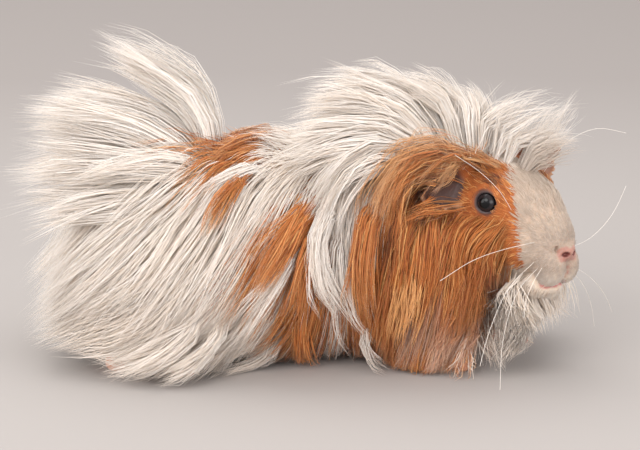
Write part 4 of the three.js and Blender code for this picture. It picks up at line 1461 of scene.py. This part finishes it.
def makeLongCoat(name, count, guides, weight, seed, white=0.0, size=12, pull=0.45, trim=None, scale=1.0,
                 facing=None, fade=0.0, **growth):
    rng = np.random.default_rng(seed)
    roots = skinSpots.pick(count, weight, rng)
    paths = growStrands(roots, guides, rng, trim=trim, **growth)
    paths, _ = clump(paths, rng, size * 7, pull * 0.4)
    paths, owner = clump(paths, rng, size, pull)
    paths = offGround(paths, rng)
    tint, tip = strandTints(roots, rng, white)
    # ginger hair fades to cream where it hangs near the ground
    faded = fade * (1 - smoothRange(paths[:, -1, 2], 6, 22))[:, None] * rng.uniform(0.3, 1, (count, 1))
    tip = tip * (1 - faded) + linear(coatColours["cream"]) * faded
    shade = rng.uniform(0.93, 1.04, len(roots))[owner][:, None]
    lean = None if facing is None else unit(rough.slope(paths) + np.array(facing))
    return strandPiece(name, paths, longWidths(count, rng, scale), tint * shade, tip * shade, rng, lean)


def makeLocks(name, locks, count, seed, scale=1.0, **bundle):
    rng = np.random.default_rng(seed)
    paths, lean, lock, tuft = bundleStrands(locks, count, rng, **bundle)
    paths = offGround(paths, rng)
    tint, tip = lockTints(locks, lock, paths[:, 0], rng)
    shade = rng.uniform(0.93, 1.04, tuft.max() + 1)[tuft][:, None]
    return strandPiece(name, paths, longWidths(count, rng, scale), tint * shade, tip * shade, rng, lean)


bodyGuides = Guides(coatGuides, strandSteps)
chestGuides = Guides(beardGuides, strandSteps, mirror=False)


def onFlank(p):
    return onTrunk(p) * (p[:, 0] >= -48) * (p[:, 0] < 34)


def onFront(p):
    return onTrunk(p) * (p[:, 0] >= 34)


def rightSide(p):
    return acrossSpine(p)[:, 1] > p[:, 1]


makeLongCoat("coat_rump", coatSetup["rump"], bodyGuides, lambda p: onTrunk(p) * (p[:, 0] < -48), 101,
             trim=saddleTrim)
makeLongCoat("coat_flank_right", coatSetup["flankRight"], bodyGuides,
             lambda p: onFlank(p) * rightSide(p), 102, 0.06, trim=saddleTrim)
makeLongCoat("coat_flank_left", coatSetup["flankLeft"], bodyGuides,
             lambda p: onFlank(p) * ~rightSide(p), 103, 0.06, trim=saddleTrim)
makeLongCoat("coat_front_right", coatSetup["frontRight"], bodyGuides,
             lambda p: onFront(p) * rightSide(p), 104)
makeLongCoat("coat_front_left", coatSetup["frontLeft"], bodyGuides, lambda p: onFront(p) * ~rightSide(p), 105)
cheeks = makeLongCoat("coat_cheeks", coatSetup["cheeks"], bodyGuides, onCheek, 106, trim=cheekTrim, scale=0.9,
                      fade=0.6)
makeLongCoat("coat_beard", coatSetup["beard"], chestGuides, onBeard, 107, 1.0, size=18, pull=0.35,
             shortest=0.5, longest=0.95, follow=0.7, wander=0.07, scale=0.9, facing=(0.4, -1.6, 0.9))
mane = makeLocks("coat_mane", maneLocks, coatSetup["mane"], 108, splay=0.26, hug=0.6, latest=0.25, rise=0.25)
makeLocks("coat_wisps", wispLocks, coatSetup["wisps"], 112, splay=0.5, hug=0.4, scale=0.6, tuft=2,
          shortest=0.5)
plume = makeLocks("coat_plume", plumeLocks, coatSetup["plume"], 109, splay=0.14, hug=0.3, rise=0.22)
makeLocks("coat_top_locks", topLocks, coatSetup["top"], 110, splay=0.18, hug=0.8, scale=0.85, latest=0.3,
          rise=0.4)
makeLocks("coat_head_locks", headLocks, coatSetup["head"], 111, splay=0.24, hug=0.8, scale=0.75, latest=0.5,
          tuft=4, rise=0.5)
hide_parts("mane", *[f"mane_lock_{i + 1}" for i in range(4)])
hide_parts(*[f"plume_lock_{i + 1}" for i in range(11)])
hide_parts("cheek_right", "cheek_left")

# The short fur of the face, ears and legs.
furSetup = {"face": 9500, "muzzle": 4500, "ears": 700, "legs": 1300, "width": 0.38, "steps": 4}


def furWay(p, normals):
    # fur radiates back from the nose, and turns down over the jaw
    h = toHead(p)
    way = unit(h - np.array([34.0, 0, -20]))
    way[:, 2] -= 0.55 * smoothRange(-h[:, 2], 2, 14) * smoothRange(26 - h[:, 0], 0, 14)
    way = way @ headAxes
    legs = (smoothRange(22 - p[:, 2], 0, 8) * (1 - headPart(p)))[:, None]
    way = way * (1 - legs) + np.array([0.75, 0, -0.6]) * legs
    return unit(way - normals * (way * normals).sum(axis=1)[:, None])


def furLength(p):
    h = toHead(p)
    fromNose = length(h - np.array([34, 0, -22]))
    face = np.interp(fromNose, (3, 10, 22, 40, 55), (1.2, 2.6, 4.6, 7.5, 10))
    eye = length(mirrored(h) - np.array(eyeShape["centre"]))
    face *= np.interp(eye, (6.5, 9, 14), (0.25, 0.5, 1))
    return np.where(headPart(p) > 0.05, face, 3.0)


def makeShortFur(name, count, weight, seed, sizeOf=furLength, scale=1.0, stand=0.22):
    rng = np.random.default_rng(seed)
    roots = skinSpots.pick(count, weight, rng)
    normals = slope(skinField, roots)
    way = furWay(roots, normals)
    sideways = np.cross(normals, way)
    drift = waves(roots, 12, seed)[:, None] * 0.22 + rng.normal(0, 0.2, (count, 1))
    way = unit(way + sideways * drift)
    size = (sizeOf(roots) * rng.uniform(0.65, 1.25, count))[:, None, None]
    t = np.linspace(0, 1, furSetup["steps"])[None, :, None]
    up = stand * rng.uniform(0.5, 1.5, (count, 1, 1))
    paths = ((roots - normals * 0.25)[:, None] + way[:, None] * size * t
             + normals[:, None] * size * up * (t - 0.45 * t * t))
    paths, _ = clump(paths, rng, 7, 0.4, 0.1)
    paths[..., 2] = np.maximum(paths[..., 2], 0.8)
    widths = furSetup["width"] * scale * np.clip(rng.lognormal(0, 0.25, count), 0.5, 1.8)
    tint, tip = strandTints(roots, rng)
    return strandPiece(name, paths, widths, tint, tip, rng, softness=0.6)


def furry(p):
    return 1 - np.clip(skinTone(p)[1] * 1.6, 0, 1)


def onMuzzle(p):
    return 1 - smoothRange(length(toHead(p) - np.array([32, 0, -24])), 13, 18)


def onEar(p):
    h = toHead(p)
    total = np.zeros(len(p))
    for side in (-1, 1):
        along, across, half, ahead = earPlace(h, side)
        total += (along > 4) * (np.abs(across) < half + 1) * (np.abs(ahead) < 2)
    return total


def onLegs(p):
    return (1 - headPart(p)) * smoothRange(p[:, 2], 4, 7) * (1 - smoothRange(p[:, 2], 20, 26))


def shortHair(p):
    return np.full(len(p), 3.0)


makeShortFur("coat_face", furSetup["face"],
             lambda p: furry(p) * headPart(p) * (1 - onMuzzle(p)) * (1 - onEar(p)), 201)
makeShortFur("coat_muzzle", furSetup["muzzle"], lambda p: furry(p) * headPart(p) * onMuzzle(p), 202,
             scale=0.75)
makeShortFur("coat_ears", furSetup["ears"], lambda p: onEar(p) * (0.25 + furry(p)), 203, shortHair, 0.6, 0.15)
makeShortFur("coat_legs", furSetup["legs"], onLegs, 204, shortHair)

# Whiskers, each following its own curve.
whiskerSetup = {"thickness": 0.0002, "points": 14, "sides": 6, "tip": 0.15, "tone": (240, 232, 222)}
# Each whisker runs in the camera's view from its root to its tip, with its sideways place at both ends.
whiskerPaths = {
    "browNear": {"px": [(513, 213), (500, 192), (480, 172), (455, 155)], "side": (-46, -62)},
    "padLong": {"px": [(533, 244), (508, 249), (474, 260), (440, 281)], "side": (-58, -80)},
    "padDownOne": {"px": [(524, 268), (504, 290), (490, 326), (480, 366)], "side": (-60, -78)},
    "padDownTwo": {"px": [(530, 270), (514, 290), (503, 330), (500, 390)], "side": (-58, -72)},
    "padDownThree": {"px": [(540, 266), (532, 282), (526, 300), (524, 318)], "side": (-58, -68)},
    "browFar": {"px": [(552, 160), (568, 138), (594, 127), (626, 133)], "side": (-22, 4)},
    "farUp": {"px": [(578, 252), (596, 240), (612, 218), (626, 186)], "side": (-34, 0)},
    "farDown": {"px": [(576, 264), (592, 276), (604, 292), (612, 312)], "side": (-36, -6)},
    "farDownTwo": {"px": [(574, 268), (586, 286), (592, 306), (594, 326)], "side": (-38, -14)},
}


def whiskerMaterial():
    n = Nodes("whisker")
    grain = n.noise(n.objectPlace(), 1800.0, 2.0)
    tone = linear(whiskerSetup["tone"])
    base = n.mix(n.spread(grain, 0.3, 0.7, 0.0, 1.0), (*tone * 0.9, 1), (*tone, 1))
    n.set(Base_Color=base, Roughness=0.35, Specular_IOR_Level=0.5, Subsurface_Weight=0.2,
          Subsurface_Radius=(1.0, 0.9, 0.8), Subsurface_Scale=0.0005)
    n.bump(grain, 0.05, 0.0001)
    return n.material


def whiskerTree(material):
    # sweeps a thin circle along each curve, narrowing to the tip
    tree = bpy.data.node_groups.new("whiskerSweep", "GeometryNodeTree")
    tree.interface.new_socket("Curves", in_out="INPUT", socket_type="NodeSocketGeometry")
    tree.interface.new_socket("Thickness", in_out="INPUT", socket_type="NodeSocketFloat")
    tree.interface.new_socket("Sides", in_out="INPUT", socket_type="NodeSocketInt")
    tree.interface.new_socket("Points", in_out="INPUT", socket_type="NodeSocketInt")
    tree.interface.new_socket("Mesh", in_out="OUTPUT", socket_type="NodeSocketGeometry")
    made = {}
    for label, kind in (("given", "NodeGroupInput"), ("even", "GeometryNodeResampleCurve"),
                        ("along", "GeometryNodeSplineParameter"), ("narrow", "ShaderNodeMapRange"),
                        ("ring", "GeometryNodeCurvePrimitiveCircle"), ("half", "ShaderNodeMath"),
                        ("radius", "GeometryNodeSetCurveRadius"), ("sweep", "GeometryNodeCurveToMesh"),
                        ("smooth", "GeometryNodeSetShadeSmooth"), ("real", "GeometryNodeRealizeInstances"),
                        ("finish", "GeometryNodeSetMaterial"), ("result", "NodeGroupOutput")):
        made[label] = tree.nodes.new(kind)
    made["narrow"].inputs["To Min"].default_value = 1.0
    made["narrow"].inputs["To Max"].default_value = whiskerSetup["tip"]
    made["half"].operation = "MULTIPLY"
    made["half"].inputs[1].default_value = 0.5
    made["sweep"].inputs["Fill Caps"].default_value = True
    made["finish"].inputs["Material"].default_value = material
    for source, output, target, socket in (
            ("given", "Curves", "even", "Curve"), ("given", "Points", "even", "Count"),
            ("along", "Factor", "narrow", "Value"), ("narrow", "Result", "radius", "Radius"),
            ("even", "Curve", "radius", "Curve"), ("radius", "Curve", "sweep", "Curve"),
            ("given", "Sides", "ring", "Resolution"), ("given", "Thickness", "half", 0),
            ("half", "Value", "ring", "Radius"), ("ring", "Curve", "sweep", "Profile Curve"),
            ("sweep", "Mesh", "smooth", "Geometry"), ("smooth", "Geometry", "real", "Geometry"),
            ("real", "Geometry", "finish", "Geometry"), ("finish", "Geometry", "result", "Mesh")):
        tree.links.new(made[source].outputs[output], made[target].inputs[socket])
    return tree


def makeWhiskers():
    curves = bpy.data.curves.new("whisker_curves", "CURVE")
    curves.dimensions = "3D"
    for whisker in whiskerPaths.values():
        path = guidePath(whisker, whiskerSetup["points"])
        root = path[0]
        for _ in range(8):
            root = root - rough.slope(root[None])[0] * (rough(root[None])[0] + 0.8) * 0.6
        path = path + (root - path[0]) * (1 - np.linspace(0, 1, len(path))[:, None]) ** 2
        spline = curves.splines.new("POLY")
        spline.points.add(len(path) - 1)
        spline.points.foreach_set("co", np.c_[toFrame(path), np.ones(len(path))].astype(np.float32).ravel())
    source = addObject("whisker_curves", curves)
    tree = whiskerTree(whiskerMaterial())
    sweep = source.modifiers.new("sweep", "NODES")
    sweep.node_group = tree
    values = {"Thickness": whiskerSetup["thickness"], "Sides": whiskerSetup["sides"],
              "Points": whiskerSetup["points"]}
    for item in tree.interface.items_tree:
        if item.in_out == "INPUT" and item.name in values:
            sweep[item.identifier] = values[item.name]
    seen = source.evaluated_get(bpy.context.evaluated_depsgraph_get())
    mesh = bpy.data.meshes.new_from_object(seen)
    source.modifiers.remove(sweep)
    bpy.data.objects.remove(source)
    whiskers = addObject("whiskers", mesh)
    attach(whiskers, "root")
    print("whiskers made:", len(mesh.vertices), "points")


makeWhiskers()

# The stage.
# the floor's near and far tones are a painted pool of light: lighter round the animal, darker farther off
stageFinish = {"near": (170, 165, 162), "far": (156, 150, 147), "inner": 0.22, "outer": 0.8, "radius": 6.0,
               "sides": 96, "aim": (0, 0, 0.06)}  # the lights look at aim
lights = {
    "key": {"place": (-0.7, -1.7, 1.3), "size": 1.4, "power": 25, "colour": (1.0, 0.985, 0.97)},
    "fill": {"place": (1.3, -1.6, 0.5), "size": 1.3, "power": 18, "colour": (0.99, 0.99, 1.0)},
    "left": {"place": (-1.7, -1.0, 0.7), "size": 1.3, "power": 13, "colour": (1.0, 0.985, 0.97)},
    "top": {"place": (-0.5, 0.7, 1.9), "size": 1.6, "power": 15, "colour": (1.0, 0.98, 0.96)},
}
worldFinish = {"colour": (235, 232, 231), "strength": 1.25}


def stageMaterial():
    n = Nodes("paper_floor")
    place = n.objectPlace()
    # painted pool of light: the floor is lighter near the animal and darker with distance from it
    away = n.add("VectorMath", {"operation": "LENGTH"}, Vector=place).outputs["Value"]
    share = n.spread(away, stageFinish["inner"], stageFinish["outer"], 0.0, 1.0)
    tone = n.mix(share, opaque(stageFinish["near"]), opaque(stageFinish["far"]))
    n.set(Base_Color=tone, Roughness=0.9, Specular_IOR_Level=0.1)
    n.bump(n.noise(place, 900.0, 2.0), 0.03, 0.0002)
    return n.material


def makeStage():
    sides = stageFinish["sides"]
    angles = np.linspace(0, 2 * np.pi, sides, endpoint=False)
    points = np.stack([np.cos(angles), np.sin(angles), np.zeros(sides)], axis=1) * stageFinish["radius"]
    mesh = bpy.data.meshes.new("floor")
    mesh.from_pydata(points.tolist(), [], [list(range(sides))])
    mesh.materials.append(stageMaterial())
    floor = addObject("floor", mesh)
    for name, light in lights.items():
        data = bpy.data.lights.new(name, "AREA")
        data.shape = "DISK"
        data.size = light["size"]
        data.energy = light["power"]
        data.color = light["colour"]
        lamp = addObject(name, data)
        lamp.location = light["place"]
        lamp.rotation_euler = (Vector(stageFinish["aim"]) - lamp.location).to_track_quat("-Z", "Y").to_euler()
    world = bpy.data.worlds.new("studio")
    world.use_nodes = True
    background = world.node_tree.nodes["Background"]
    background.inputs["Color"].default_value = opaque(worldFinish["colour"])
    background.inputs["Strength"].default_value = worldFinish["strength"]
    bpy.context.scene.world = world
    bpy.context.scene.view_settings.view_transform = "Standard"


makeStage()
print("stage set")
